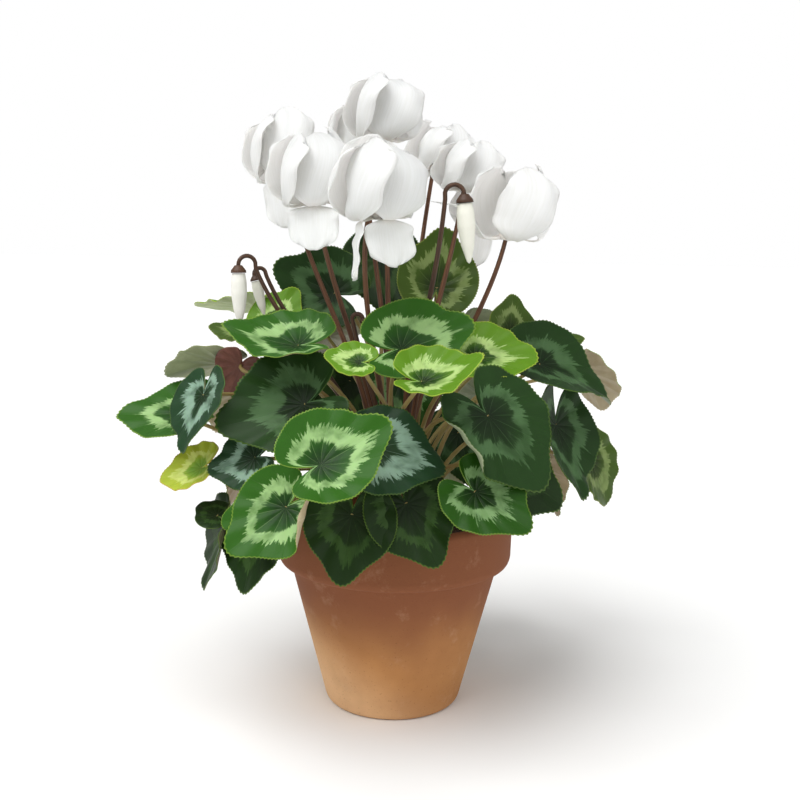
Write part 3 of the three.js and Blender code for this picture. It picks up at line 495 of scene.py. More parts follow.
def stand_on_crown(stalks):
    """The foot of each stalk, from {name: (ring, x, y)}: on its ring at the azimuth of x, y, then
    neighbours closer than the spacing move apart by half of what is short, pass after pass."""
    places = {}
    for ring, radius in enumerate(FOOT_RINGS):
        step = FOOT_SPACING / radius
        here = [[math.atan2(y, x), name] for name, (on, x, y) in stalks.items() if on == ring]
        here.sort(key=lambda stalk: stalk[0])
        for _ in range(PUSHES):
            for i, stalk in enumerate(here):
                after = here[(i + 1) % len(here)]
                lap = 2 * math.pi if i + 1 == len(here) else 0
                short = step - (after[0] + lap - stalk[0])
                if short > 0 and len(here) > 1:
                    stalk[0] -= short / 2
                    after[0] += short / 2
        for angle, name in here:
            places[name] = np.array([radius * math.cos(angle), radius * math.sin(angle),
                                     CROWN_Z + SEAT_GAP])
    return places


leaves = [Leaf(*row) for row in LEAF_ROWS]
blooms = [Bloom(*row) for row in BLOOM_ROWS]
buds = [Bud(*row) for row in BUD_ROWS]
stalks = {}
for leaf in leaves:
    stalks.setdefault(leaf.node, (leaf.stalk[0], *leaf.junction[:2]))
for bloom in blooms:
    stalks["bloom " + bloom.name] = (bloom.ring, *bloom.mouth[:2])
for bud in buds:
    stalks["bud " + bud.name] = (bud.ring, *bud.top[:2])
feet = stand_on_crown(stalks)

# ---------------------------------------------------------------------------------- the leaves
# Heart-shaped leaves, fleshy and a little under a millimetre thick, each on its own round stalk.
# The upper face is green with a feathered silver band, the back pale, the margin toothed.
BLADE_COLUMNS = 180
BLADE_RINGS = np.array([0.05, 0.14, 0.24, 0.34, 0.43, 0.52, 0.6, 0.68, 0.76, 0.84, 0.91, 0.965, 1.0])
BLADE_THICKNESS = 0.8
BLADE_WAVE = 0.06
BLADE_PHASE = 2.1
VEIN_STEP = math.radians(32)
VEIN_SWEEP = 0.3
PUCKER = 0.016
RIPPLE = 0.014
TOOTH = 0.011
STALK_FOOT_RADIUS = 1.5
STALK_TIP_RADIUS = 1.05
STALK_SIDES = 10
STALK_STEPS = 20
LEAF_LENGTH = 36
DRIFT_PATCH = 20
CLOUD_PATCH = 12
MOTTLE_PATCH = 4
FINGER_WIDTH = 1.25
FINGER_LENGTH = 11.25
LEAF_SEED = 7.31
STALK_SINK = 0.15


def leaf_reach(angle):
    """Junction to margin at an angle from the tip, for a tip 1 away: a broad heart, which is a
    circle pushed forward, plus a bell curve for the point, times a dip for the notch."""
    point = 0.25 * np.exp(-((angle / 0.3) ** 2))
    notch = 1 - 0.82 * np.exp(-(((np.pi - np.abs(angle)) / 0.28) ** 2))
    return (0.71 + 0.1 * np.cos(angle) + point) * notch


def blade_axes(face, lift, clock):
    """The blade's tip, side and normal: face turns the upper face from -Y towards +X, lift raises
    it, and clock turns the tip away from straight downhill."""
    face, lift, clock = np.radians([face, lift, clock])
    flat = np.array([np.sin(face), -np.cos(face), 0])
    up = np.array([0, 0, 1])
    normal = flat * np.cos(lift) + up * np.sin(lift)
    down = flat * np.sin(lift) - up * np.cos(lift)
    tip = down * np.cos(clock) + np.cross(normal, down) * np.sin(clock)
    return tip, np.cross(normal, tip), normal


def blade_sheet(leaf, number, reach, angle):
    """Points of the blade's middle sheet. The height is cup * far^1.5, plus a fold that grows
    with the distance from the midrib, less a droop of the tip, plus a slow wave, a puckering
    between the veins and a ripple at the margin. Past each roll's line the sheet then wraps
    round a cylinder."""
    cup, fold, droop = leaf.form
    saw = np.where(np.arange(reach.shape[1]) % 2 == 0, TOOTH, -TOOTH)[None, :]
    far = reach * leaf_reach(angle) * (1 + saw * reach ** 24)
    x = far * np.cos(angle)
    y = far * np.sin(angle)
    z = cup * far ** 1.5 + fold * (np.sqrt(y ** 2 + 0.01) - 0.1) - droop * np.maximum(0, x) ** 2
    z += BLADE_WAVE * far ** 2 * np.cos(3 * angle + BLADE_PHASE * number)
    veins = (angle + VEIN_SWEEP * reach * np.sin(angle)) / VEIN_STEP
    z -= PUCKER * far * np.cos(2 * np.pi * veins)
    z += RIPPLE * reach ** 6 * (np.sin(11 * angle + 1.7 * number) + np.sin(5 * angle + 2.9 * number))
    for direction, start, radius in leaf.rolls:
        c = math.cos(math.radians(direction))
        s = math.sin(math.radians(direction))
        along = x * c + y * s
        turn = np.maximum(0, along - start) / radius
        moved = np.where(along > start, start + (radius - z) * np.sin(turn), along)
        z = np.where(along > start, radius - (radius - z) * np.cos(turn), z)
        x = x + (moved - along) * c
        y = y + (moved - along) * s
    tip, side, normal = blade_axes(*leaf.facing)
    local = x[..., None] * tip + y[..., None] * side + z[..., None] * normal
    return np.array(leaf.junction, dtype=float) + local * leaf.length


def sheet_normals(sheet, closed):
    """Unit normals of a grid of points: its slope down the rows x its slope along the columns."""
    down = np.gradient(sheet, axis=0)
    if closed:
        along = np.roll(sheet, -1, axis=1) - np.roll(sheet, 1, axis=1)
    else:
        along = np.gradient(sheet, axis=1)
    normal = np.cross(down, along)
    return normal / np.maximum(np.linalg.norm(normal, axis=-1, keepdims=True), 1e-9)


def blade_shell(leaf, number):
    """The blade as a closed shell: its sheet moved half the thickness up and down its normals, a
    centre point on each face and a band round the rim. The rim is half as thick."""
    angles = np.linspace(-np.pi, np.pi, BLADE_COLUMNS, endpoint=False)
    reach, angle = np.meshgrid(BLADE_RINGS, angles, indexing="ij")
    sheet = blade_sheet(leaf, number, reach, angle)
    normal = sheet_normals(sheet, True)
    half = BLADE_THICKNESS / 2 * (1 - 0.5 * reach[..., None] ** 8)
    middle = sheet[0].mean(axis=0)
    rise = normal[0].mean(axis=0) * BLADE_THICKNESS / 2
    upper = (sheet + normal * half).reshape(-1, 3)
    lower = (sheet - normal * half).reshape(-1, 3)
    points = np.concatenate([upper, lower, [middle + rise, middle - rise]])
    count = len(upper)
    rows = len(BLADE_RINGS)
    rim = (rows - 1) * BLADE_COLUMNS + np.arange(BLADE_COLUMNS)
    band = np.stack([rim, rim + count, np.roll(rim, -1) + count, np.roll(rim, -1)], axis=-1)
    faces = [
        grid_quads(rows, BLADE_COLUMNS, True),
        fan(2 * count, np.arange(BLADE_COLUMNS)),
        band,
        grid_quads(rows, BLADE_COLUMNS, True, turned_over=True) + count,
        fan(2 * count + 1, count + np.arange(BLADE_COLUMNS), turned_over=True),
    ]
    one = np.stack([reach, angle, np.full(reach.shape, float(number))], axis=-1).reshape(-1, 3)
    centre = np.array([[0.0, 0.0, number]] * 2)
    return points, faces, [0, 0, 0, 1, 1], np.concatenate([one, one, centre])


def curve_points(a, b, c, d, steps):
    """Points of the cubic curve with end points a, d and handles b, c."""
    t = np.linspace(0, 1, steps + 1)[:, None]
    return ((1 - t) ** 3 * a + 3 * t * (1 - t) ** 2 * b + 3 * t ** 2 * (1 - t) * c + t ** 3 * d)


def stalk_shell(path, radii, across, sides, number, slot):
    """A round bar carried along a path as a closed shell. Its section at each point is a circle
    square to the path, laid out from the across direction, and flat discs close its ends."""
    along = np.gradient(path, axis=0)
    along /= np.linalg.norm(along, axis=1, keepdims=True)
    along[0] = (0, 0, 1)
    first = across[None, :] - along * (along @ across)[:, None]
    first /= np.linalg.norm(first, axis=1, keepdims=True)
    second = np.cross(along, first)
    turn = np.linspace(0, 2 * np.pi, sides, endpoint=False)[None, :, None]
    ring = path[:, None, :] + radii[:, None, None] * (
        first[:, None, :] * np.cos(turn) + second[:, None, :] * np.sin(turn))
    rows = len(path)
    points = np.concatenate([ring.reshape(-1, 3), path[:1], path[-1:]])
    faces = [
        grid_quads(rows, sides, True, turned_over=True),
        fan(rows * sides, np.arange(sides), turned_over=True),
        fan(rows * sides + 1, (rows - 1) * sides + np.arange(sides)),
    ]
    share = np.repeat(np.linspace(0, 1, rows), sides)
    marks = np.stack([share, np.tile(turn[0, :, 0], rows), np.full(len(share), float(number))], -1)
    ends = np.array([[0.0, 0.0, number], [1.0, 0.0, number]])
    return points, faces, [slot] * 3, np.concatenate([marks, ends])


def leaf_stalk(leaf, number):
    """A leaf's stalk: it stands straight up from its foot, arches outwards on a cubic curve and
    meets the junction from behind and below the blade."""
    foot = feet[leaf.node]
    tip, _, normal = blade_axes(*leaf.facing)
    _, rise, bow = leaf.stalk
    end = np.array(leaf.junction, dtype=float) + STALK_SINK * normal
    span = np.linalg.norm(end - foot)
    arrive = 0.8 * normal + 0.45 * tip
    arrive /= np.linalg.norm(arrive)
    outward = np.array([foot[0], foot[1], 0])
    outward /= np.linalg.norm(outward)
    sideways = np.array([-outward[1], outward[0], 0])
    low = foot + np.array([0, 0, rise * span])
    high = end - 0.33 * span * arrive + sideways * bow
    path = curve_points(foot, low, high, end, STALK_STEPS)
    radii = np.linspace(STALK_FOOT_RADIUS, STALK_TIP_RADIUS, len(path))
    return stalk_shell(path, radii, sideways, STALK_SIDES, number, 2)


def leaf_top(name, deep, margin, silver, edge, painted_heart_shade, band_share):
    """The upper face of a leaf. Its mark "place" holds (share of the way to the margin, angle
    from the tip, leaf number). Inside the band the leaf is deep green with pale veins; the band
    starts in scallops between the veins and ends in ragged fingers that run out along them. The
    fingers have their width halfway to the margin."""
    skin, add = new_material(name)
    mark = add("SeparateXYZ", [add("Attribute", output="Vector", attribute_name="place")], None)
    reach = mark["X"]
    angle = mark["Y"]
    seed = add("Math", [mark["Z"], LEAF_SEED], operation="MULTIPLY")
    ahead = add("Math", [add("Math", [angle], operation="COSINE"), reach], operation="MULTIPLY")
    aside = add("Math", [add("Math", [angle], operation="SINE"), reach], operation="MULTIPLY")
    flat = add("CombineXYZ", [ahead, aside, seed])
    swept = add("Math", [aside, VEIN_SWEEP, angle], operation="MULTIPLY_ADD")
    veins = add("Math", [swept, VEIN_STEP], operation="DIVIDE")
    to_vein = add("Math", [veins, 0.5], operation="PINGPONG")
    ray_side = add("Math", [swept, LEAF_LENGTH / 2 / FINGER_WIDTH], operation="MULTIPLY")
    ray_out = add("Math", [reach, LEAF_LENGTH / FINGER_LENGTH], operation="MULTIPLY")
    ray_seed = add("Math", [seed, 1.6], operation="MULTIPLY")
    ray = add("CombineXYZ", [ray_side, ray_out, ray_seed])
    feather = add("TexNoise", {"Vector": ray, "Scale": 1.0, "Detail": 4.0, "Roughness": 0.75})
    drift = add("TexNoise", {"Vector": flat, "Scale": LEAF_LENGTH / DRIFT_PATCH})
    shift = add("Math", [add("Math", [seed], operation="SINE"), 0.05], operation="MULTIPLY")

    # The band's inner edge: 0.68 drift + 0.26 feather + 0.022 scallops + shift - 0.05.
    turns = add("Math", [veins, 2 * math.pi], operation="MULTIPLY")
    scallops = add("Math", [turns], operation="COSINE")
    inner = add("Math", [scallops, 0.022, shift], operation="MULTIPLY_ADD")
    inner = add("Math", [feather, 0.26, inner], operation="MULTIPLY_ADD")
    inner = add("Math", [drift, 0.68, inner], operation="MULTIPLY_ADD")
    past_inner = add("Math", [reach, inner], operation="SUBTRACT")
    within = add("MapRange", [past_inner, -0.07, 0.0], **SMOOTH)

    # Its outer edge: 0.5 drift + 0.5 feather + 0.1 fingers along the veins + 0.8 shift + 0.17.
    fingers = add("MapRange", [to_vein, 0.1, 0.0, 0, 0.1], **SMOOTH)
    outer = add("Math", [shift, 0.8, fingers], operation="MULTIPLY_ADD")
    outer = add("Math", [feather, 0.5, outer], operation="MULTIPLY_ADD")
    outer = add("Math", [drift, 0.5, outer], operation="MULTIPLY_ADD")
    to_outer = add("Math", [outer, reach], operation="SUBTRACT")
    without = add("MapRange", [to_outer, -0.18, -0.14], **SMOOTH)
    band = add("Math", [within, without], operation="MULTIPLY")
    clouds = add("TexNoise", {"Vector": flat, "Scale": LEAF_LENGTH / CLOUD_PATCH, "Detail": 3.0})
    cloud = add("MapRange", [clouds, 0.3, 0.58, 0.38 * band_share, band_share], **SMOOTH)
    silvering = add("Math", [band, cloud], operation="MULTIPLY")

    inside = add("MapRange", [reach, 0.62, 0.25], **SMOOTH)
    # Painted shade: the middle darkens towards the junction as if in the shadow of the leaf's funnel.
    painted_funnel_shade = add("MapRange", [reach, 0.4, 0.03, 0, painted_heart_shade], **SMOOTH)
    mottle = add("TexNoise", {"Vector": flat, "Scale": LEAF_LENGTH / MOTTLE_PATCH, "Detail": 4.0,
                              "Roughness": 0.6})
    fleck = add("MapRange", [mottle, 0.4, 0.8, 0, 0.3], **SMOOTH)
    vein_width = add("Math", [reach, -0.03, 0.055], operation="MULTIPLY_ADD")
    in_vein = add("Math", [vein_width, to_vein], operation="SUBTRACT")
    vein = add("MapRange", [in_vein, 0.0, 0.04], **SMOOTH)
    vein_fade = add("MapRange", [reach, 0.95, 0.2, 0, 0.3], **SMOOTH)
    veining = add("Math", [vein, vein_fade], operation="MULTIPLY")
    rim = add("MapRange", [reach, 0.972, 0.995, 0, 0.6], **SMOOTH)
    colour = layered(add, margin, [(inside, deep), (painted_funnel_shade, "#0e1f08"), (fleck, margin),
                                   (silvering, silver), (veining, silver), (rim, edge)])
    trough = add("Math", [vein, -0.5], operation="MULTIPLY")
    height = add("Math", [mottle, 0.6, trough], operation="MULTIPLY_ADD")
    end_material(add, colour, height, 0.4, 0.5, {
        "Roughness": 0.44, "Specular IOR Level": 0.18, "Subsurface Weight": 0.1,
        "Subsurface Radius": (0.4, 1.0, 0.2), "Subsurface Scale": 1.5 * MILLIMETRE,
    })
    return skin


def plain_skin(name, tone, veins, roughness):
    """The back of a leaf, or a stalk: one pale colour, clouded, with veins or streaks that follow
    the mark "place"."""
    skin, add = new_material(name)
    place = add("Attribute", output="Vector", attribute_name="place")
    mark = add("SeparateXYZ", [place], None)
    aside = add("Math", [add("Math", [mark["Y"]], operation="SINE"), mark["X"]], operation="MULTIPLY")
    swept = add("Math", [aside, VEIN_SWEEP, mark["Y"]], operation="MULTIPLY_ADD")
    count = add("Math", [swept, VEIN_STEP], operation="DIVIDE")
    to_vein = add("Math", [count, 0.5], operation="PINGPONG")
    vein = add("MapRange", [to_vein, 0.07, 0.0], **SMOOTH)
    clouds = add("TexNoise", {"Vector": place, "Scale": LEAF_LENGTH / CLOUD_PATCH, "Detail": 4.0,
                              "Roughness": 0.6})
    cloud = add("MapRange", [clouds, 0.3, 0.8], **SMOOTH)
    veining = add("Math", [vein, 0.55], operation="MULTIPLY")
    colour = layered(add, tone, [(cloud, veins), (veining, veins)])
    height = add("Math", [vein, clouds], operation="ADD")
    end_material(add, colour, height, 0.35, 0.6, {"Roughness": roughness, "Specular IOR Level": 0.35})
    return skin


# Leaf skin: a thin cuticle over living tissue, so it has a soft gloss. Old leaves are dark and
# bluish with a grey band; young ones are lime; the backs run from grey-green to dusky pink.
# A kind: colours of the middle, the margin, the band and the rim, then how dark the painted shade
# in the funnel near the junction is and how strong the band, then the colours of the back and of its
# veins.
LEAF_KINDS = {
    "dark": ("#142a0c", "#1b380f", "#527349", "#56702e", 0.9, 0.7, "#7c8769", "#97a07e"),
    # Kind "shade" is a darker copy of the leaf colours: painted shade for leaves low down and at the
    # back.
    "shade": ("#132607", "#172f09", "#3a5826", "#5d7a2c", 0.6, 0.65, "#7b7c5c", "#8f8f6c"),
    # Kind "middle" is a darker copy of green: painted shade for green leaves low in front and at the
    # back.
    "middle": ("#16330a", "#224a0c", "#7c9f68", "#7c983a", 0.8, 0.85, "#8a8a66", "#9fa07c"),
    "blue": ("#1a351a", "#203d23", "#8aa893", "#56702e", 0.7, 0.9, "#93907c", "#aaa68e"),
    "green": ("#1b430e", "#2c5c12", "#9cc07e", "#8aa640", 0.7, 0.95, "#ab9b7a", "#bdb191"),
    "lime": ("#264c0b", "#5a8517", "#b2ce80", "#b4c44a", 0.95, 0.95, "#a3b27c", "#bcc894"),
    "olive": ("#2a3c10", "#3f5619", "#86995c", "#87913a", 0.6, 0.8, "#949a78", "#abb08c"),
    "yellow": ("#6f9a34", "#a4b438", "#cfdc80", "#cf9a4a", 0.2, 0.8, "#b8b878", "#cbca92"),
    "red": ("#3e2723", "#4d312b", "#6b4a42", "#8a6a4a", 0.3, 0.5, "#6b4038", "#85564a"),
}
# Leaves low in the plant or at the back take the darker kinds as painted shade, whatever their own
# kind.
PAINTED_SHADE_LEAVES = ("rim", "low_left", "under_large", "back_high_left", "back_left")
HALF_SHADE_LEAVES = ("low_right", "back_middle")
leaf_skins = {}
for kind, (*top, back, back_veins) in LEAF_KINDS.items():
    leaf_skins[kind] = [leaf_top("leaf_top_" + kind, *top),
                        plain_skin("leaf_back_" + kind, back, back_veins, 0.5)]
stalk_green = plain_skin("leaf_stalk_green", "#8a8a4c", "#9a6e4c", 0.45)

shells_of_node = {}
kind_of_node = {}
for number, leaf in enumerate(leaves):
    kind_of_node.setdefault(leaf.node, leaf.kind)
    shells = shells_of_node.setdefault(leaf.node, [])
    shells.extend([blade_shell(leaf, number), leaf_stalk(leaf, number)])
for name, shells in shells_of_node.items():
    kind = kind_of_node[name]
    # Painted shade: leaves low down and at the back get the darker "shade" or "middle" colours.
    look = "shade" if name in PAINTED_SHADE_LEAVES else "middle" if name in HALF_SHADE_LEAVES else kind
    made = make_piece("leaves_" + name, shells, leaf_skins[look] + [stalk_green])
    stands_for(made, "leaf_" + kind, "leaf_" + name)

# ---------------------------------------------------------------------------------- the blooms
# Nodding white flowers: the corolla's short tube hangs mouth down from a hooked stem, and its
# petals are swept up round it, each lying over the next. Some petals have dropped open.
PETAL_ROWS = 26
PETAL_COLUMNS = 17
PETAL_THICKNESS = 0.5
PETAL_STEPS = 24
PETAL_WRAP = 22
PETAL_RUFFLE = 1.2
PETAL_FRILL = 1.4
PETAL_SWIRL = math.radians(38)
PETAL_TURN = 90
PETAL_CURL_SPREAD = 9
PETAL_LENGTH_SPREAD = 0.05
PETAL_START = (4.6, 1.8)
TUBE_OUTLINE = [(0, 6), (3.6, 0), (6.2, 0), (6, 6), (0, 10.4)]
CALYX_OUTLINE = [(0, 10.8), (4.6, 8.4), (3.4, 13.2), (0, 14)]
HOOK_RADIUS = 4
STEM_FOOT_RADIUS = 1.9
STEM_TIP_RADIUS = 1.2
STEM_SIDES = 12
STEM_STEPS = 30
HOOK_STEPS = 12
FLOWER_COLUMNS = 40
STEM_TOP = 14
STEM_LENGTH = 189
BLOOM_STEM_LEAN = 0.1
PETAL_SPAN = 48
PETAL_HALF = 18
PETAL_VEIN_LENGTH = 20
PETAL_VEIN_WIDTH = 1
STREAK_LENGTH = 15
STREAK_WIDTH = 0.92
DOWN_WIDTH = 1.11


def ease(x):
    """0 to 1 on a smooth step as x goes from 0 to 1."""
    x = np.clip(x, 0, 1)
    return x ** 2 * (3 - 2 * x)


def axes_along(way):
    """The axis along a way, and two directions square to it; the first lies nearest to X."""
    axis = np.array(way, dtype=float)
    axis /= np.linalg.norm(axis)
    first = np.array([1.0, 0, 0]) - axis * axis[0]
    first /= np.linalg.norm(first)
    return axis, first, np.cross(axis, first)


def petal_sheet(mouth, axes, twist, petal, u, v):
    """Points of a petal's middle sheet, u from its root to its tip and v from side to side. The
    middle line leaves the tube, turns by the petal's turn in its first third and by its curl in
    the rest. Across it the petal bends round a wide cylinder and is turned by the twist, and an
    upright petal swirls round the bloom's axis on its way up. Its rim is frilled by sines."""
    place, turn, curl, length, width = petal
    axis, first, second = axes
    step = (np.arange(PETAL_STEPS) + 0.5) / PETAL_STEPS
    way = np.radians(-12 + turn * ease((step - 0.08) / 0.26) + curl * ease((step - 0.35) / 0.65))
    line_r = PETAL_START[0] + np.concatenate([[0], np.cumsum(np.cos(way))]) * length / PETAL_STEPS
    line_z = PETAL_START[1] + np.concatenate([[0], np.cumsum(np.sin(way))]) * length / PETAL_STEPS
    at = PETAL_STEPS * u * (1 - 0.12 * u * v ** 2)
    stations = np.arange(PETAL_STEPS + 1)
    r = np.interp(at, stations, line_r)
    z = np.interp(at, stations, line_z)
    grown = 0.15 + 0.85 * ease((u - 0.14) / 0.26)
    tapered = (1 - (0.95 * np.clip((u - 0.55) / 0.45, 0, 1)) ** 2.6) ** (1 / 2.6)
    half = width * grown * tapered / 2
    bend = v * half / PETAL_WRAP
    across = PETAL_WRAP * np.sin(bend)
    inward = PETAL_WRAP * (1 - np.cos(bend)) if turn > 60 else 0
    turned_by = np.radians(twist) * ease((u - 0.15) / 0.3)
    radial = r - inward + across * np.sin(turned_by)
    tangential = across * np.cos(turned_by)
    azimuth = (place + PETAL_SWIRL * ease(u) * (turn > 80))[..., None]
    out = first * np.cos(azimuth) + second * np.sin(azimuth)
    around = np.cross(axis, out)
    lift = z + PETAL_RUFFLE * v ** 2 * np.sin(7 * u + place)
    frill = PETAL_FRILL * (u ** 4 * np.sin(8 * v + 5 * place) + v ** 4 * np.sin(15 * u + 3 * place))
    radial = radial + frill - 0.5 * np.exp(-((v / 0.12) ** 2)) * u * (1 - u) * 2
    return mouth + radial[..., None] * out + tangential[..., None] * around + lift[..., None] * axis


def petal_shell(mouth, axes, twist, petal, number):
    """A petal as a closed shell: its sheet given a thickness that halves at the rim."""
    from_root = np.linspace(0, 1, PETAL_ROWS)
    from_side = np.linspace(-1, 1, PETAL_COLUMNS)
    u, v = np.meshgrid(from_root, from_side, indexing="ij")
    sheet = petal_sheet(mouth, axes, twist, petal, u, v)
    normal = sheet_normals(sheet, False)
    rimward = np.maximum(np.abs(v), u)[..., None]
    half = PETAL_THICKNESS / 2 * (1 - 0.5 * rimward ** 8)
    upper = (sheet + normal * half).reshape(-1, 3)
    lower = (sheet - normal * half).reshape(-1, 3)
    count = len(upper)
    number_grid = np.arange(count).reshape(PETAL_ROWS, PETAL_COLUMNS)
    rim = np.concatenate([number_grid[:-1, 0], number_grid[-1, :-1], number_grid[:0:-1, -1],
                          number_grid[0, :0:-1]])
    band = np.stack([rim, np.roll(rim, -1), np.roll(rim, -1) + count, rim + count], axis=-1)
    faces = [
        grid_quads(PETAL_ROWS, PETAL_COLUMNS, False),
        grid_quads(PETAL_ROWS, PETAL_COLUMNS, False, turned_over=True) + count,
        band[:, ::-1],
    ]
    one = np.stack([u, v, np.full(u.shape, float(number))], axis=-1).reshape(-1, 3)
    return np.concatenate([upper, lower]), faces, [0, 0, 0], np.concatenate([one, one])


def tube_pleats(angle, radius, height):
    """Five shallow pleats down the tube."""
    return 1 + 0.04 * np.cos(5 * angle) * (radius > 1), 0


def sepals(angle, radius, height):
    """Five pointed sepals: the rim reaches further down and out between five notches."""
    point = np.abs(np.cos(2.5 * angle)) ** 1.5
    rim = np.clip((radius - 3.6) / 0.8, 0, 1)
    return 1 + 0.06 * rim * (point - 0.5), -0.9 * rim * (point - 0.3)


def hooked_stem(foot, at, side, axis, hook, lean, bow, number):
    """A stem that stands up from its foot on a cubic curve, bends over in a half circle of the
    hook's radius and comes down along the axis into the calyx at the point at."""
    start = at + side * 2 * hook - axis * 2
    span = np.linalg.norm(start - foot)
    straight = (start - foot) / span
    arrive = straight + (axis - straight) * (1 - lean)
    arrive /= np.linalg.norm(arrive)
    low = foot + np.array([0, 0, 0.4 * span])
    high = start - arrive * 0.3 * span + np.array([bow, 0, 0])
    rise = curve_points(foot, low, high, start, STEM_STEPS)
    turn = np.radians(np.linspace(0, 180, HOOK_STEPS))[1:, None]
    over = at + side * hook * (1 + np.cos(turn)) + axis * hook * np.sin(turn)
    path = np.concatenate([rise, over, [at - axis * 1.2]])
    radii = np.full(len(path), STEM_TIP_RADIUS, dtype=float)
    radii[:len(rise)] = np.linspace(STEM_FOOT_RADIUS, STEM_TIP_RADIUS, len(rise))
    across = np.cross(side, axis)
    return stalk_shell(path, radii, across, STEM_SIDES, number, 0)


# Petal tissue: white, satiny and slightly see-through, with lengthwise veins, drawn coarser than
# they are, and a dusky blush where the petal leaves the tube. Its mark "place" holds (share of the
# way to the tip, share of the way to the side, petal number).
petal_white, add = new_material("petal_white")
place = add("Attribute", output="Vector", attribute_name="place")
from_root = add("SeparateXYZ", [place], "X")
vein_scale = (PETAL_SPAN / PETAL_VEIN_LENGTH, PETAL_HALF / PETAL_VEIN_WIDTH, 1.5)
rays = add("Mapping", {"Vector": place, "Scale": vein_scale})
streaks = add("TexNoise", {"Vector": rays, "Scale": 1.0, "Detail": 3.0, "Roughness": 0.6})
streak = add("MapRange", [streaks, 0.3, 0.75], **SMOOTH)
blush = add("MapRange", [from_root, 0.34, 0.04, 0, 0.6], **SMOOTH)
colour = layered(add, "#fcfbf9", [(streak, "#f5f4f0"), (blush, "#d9c8bd")])
end_material(add, colour, streaks, 0.12, 0.5, {
    "Roughness": 0.5, "Specular IOR Level": 0.3, "Subsurface Weight": 0.6,
    "Subsurface Radius": (1.0, 0.9, 0.85), "Subsurface Scale": 6 * MILLIMETRE,
})


def streaked_skin(name, tone, dark):
    """The skin of a flower stem, a calyx or a bud: matt, and darker in streaks along it. Its mark
    "place" holds (share of the way up, angle round it, number)."""
    skin, add = new_material(name)
    place = add("Attribute", output="Vector", attribute_name="place")
    stem_radius = (STEM_FOOT_RADIUS + STEM_TIP_RADIUS) / 2
    streak_scale = (STEM_LENGTH / STREAK_LENGTH, stem_radius / STREAK_WIDTH, 1.4)
    ray = add("Mapping", {"Vector": place, "Scale": streak_scale})
    streaks = add("TexNoise", {"Vector": ray, "Scale": 1.0, "Detail": 4.0, "Roughness": 0.6})
    streak = add("MapRange", [streaks, 0.35, 0.7], **SMOOTH)
    colour = layered(add, tone, [(streak, dark)])
    down = add("TexNoise", {"Vector": add("TexCoord", output="Object"), "Scale": 1000 / DOWN_WIDTH})
    end_material(add, colour, down, 0.3, 0.4, {"Roughness": 0.5, "Specular IOR Level": 0.35})
    return skin


# Stem skin: green tissue under a reddish-brown down of fine hairs, drawn coarser than they are.
stem_brown = streaked_skin("flower_stem_brown", "#6f4a31", "#45291b")

for number, bloom in enumerate(blooms):
    length, width, twist, curl = bloom.form
    axes = axes_along((*bloom.tilt, 1))
    mouth = np.array(bloom.mouth, dtype=float)
    replaced = [other[0] for other in bloom.others]
    petal_list = [(k, PETAL_TURN, curl, length, width) for k in range(5) if k not in replaced]
    petal_list += bloom.others
    shells = [turned_shell(dense(TUBE_OUTLINE, 1.0), FLOWER_COLUMNS, tube_pleats, axes, mouth,
                           (0.1, 0, number))]
    for k, (spot, turn, curl, length, width) in enumerate(petal_list):
        azimuth = math.radians(bloom.side + 72 * (spot + 0.5))
        curl += PETAL_CURL_SPREAD * math.sin(2.4 * spot + bloom.mouth[0])
        length *= 1 + PETAL_LENGTH_SPREAD * math.sin(1.7 * spot + bloom.mouth[1])
        petal = (azimuth, turn, curl, length, width)
        shells.append(petal_shell(mouth, axes, twist, petal, 10 * number + k))
    petals = make_piece("petals_" + bloom.name, shells, [petal_white])
    stands_for(petals, "petal", "bloom_" + bloom.name + "_petals")
    away = math.radians(bloom.side)
    to_stem = axes[1] * math.cos(away) + axes[2] * math.sin(away)
    stem_shells = [
        turned_shell(dense(CALYX_OUTLINE, 0.8), FLOWER_COLUMNS, sepals, axes, mouth,
                     (0.5, 0, number)),
        hooked_stem(feet["bloom " + bloom.name], mouth + axes[0] * STEM_TOP, to_stem, axes[0],
                    HOOK_RADIUS, BLOOM_STEM_LEAN, bloom.bow, number),
    ]
    stem = make_piece("stem_" + bloom.name, stem_shells, [stem_brown])
    stands_for(stem, "flower_stem", "bloom_" + bloom.name + "_stem")

# ------------------------------------------------------------------------------------ the buds
# Closed buds hang from stems that hook over: five petals furled round each other into a spiral
# point, in a small brown calyx. The spent flower has dropped its petals and is brown all over.
BUD_OUTLINE = [(0, 5), (3.9, 5), (4.7, 10), (4.8, 17), (3.4, 27), (1.1, 35), (0, 36)]
BUD_CALYX = [(0, 0), (2.2, 0.3), (4.4, 3.2), (4.6, 4.65), (0, 4.65)]
BUD_FURL = 0.05
BUD_STEM_LEAN = 0.8


def furled(angle, radius, height):
    """Five overlapping petal edges that show as low ridges."""
    ridge = (angle * 5 / (2 * np.pi)) % 1.0
    return 1 - BUD_FURL * ridge * (radius > 1), 0


def round_section(angle, radius, height):
    """A plain round section."""
    return 1, 0


bud_cream = streaked_skin("bud_petal_cream", "#f1efe8", "#dfe0cd")
bud_stem_dark = streaked_skin("bud_stem_dark", "#553a28", "#35231a")

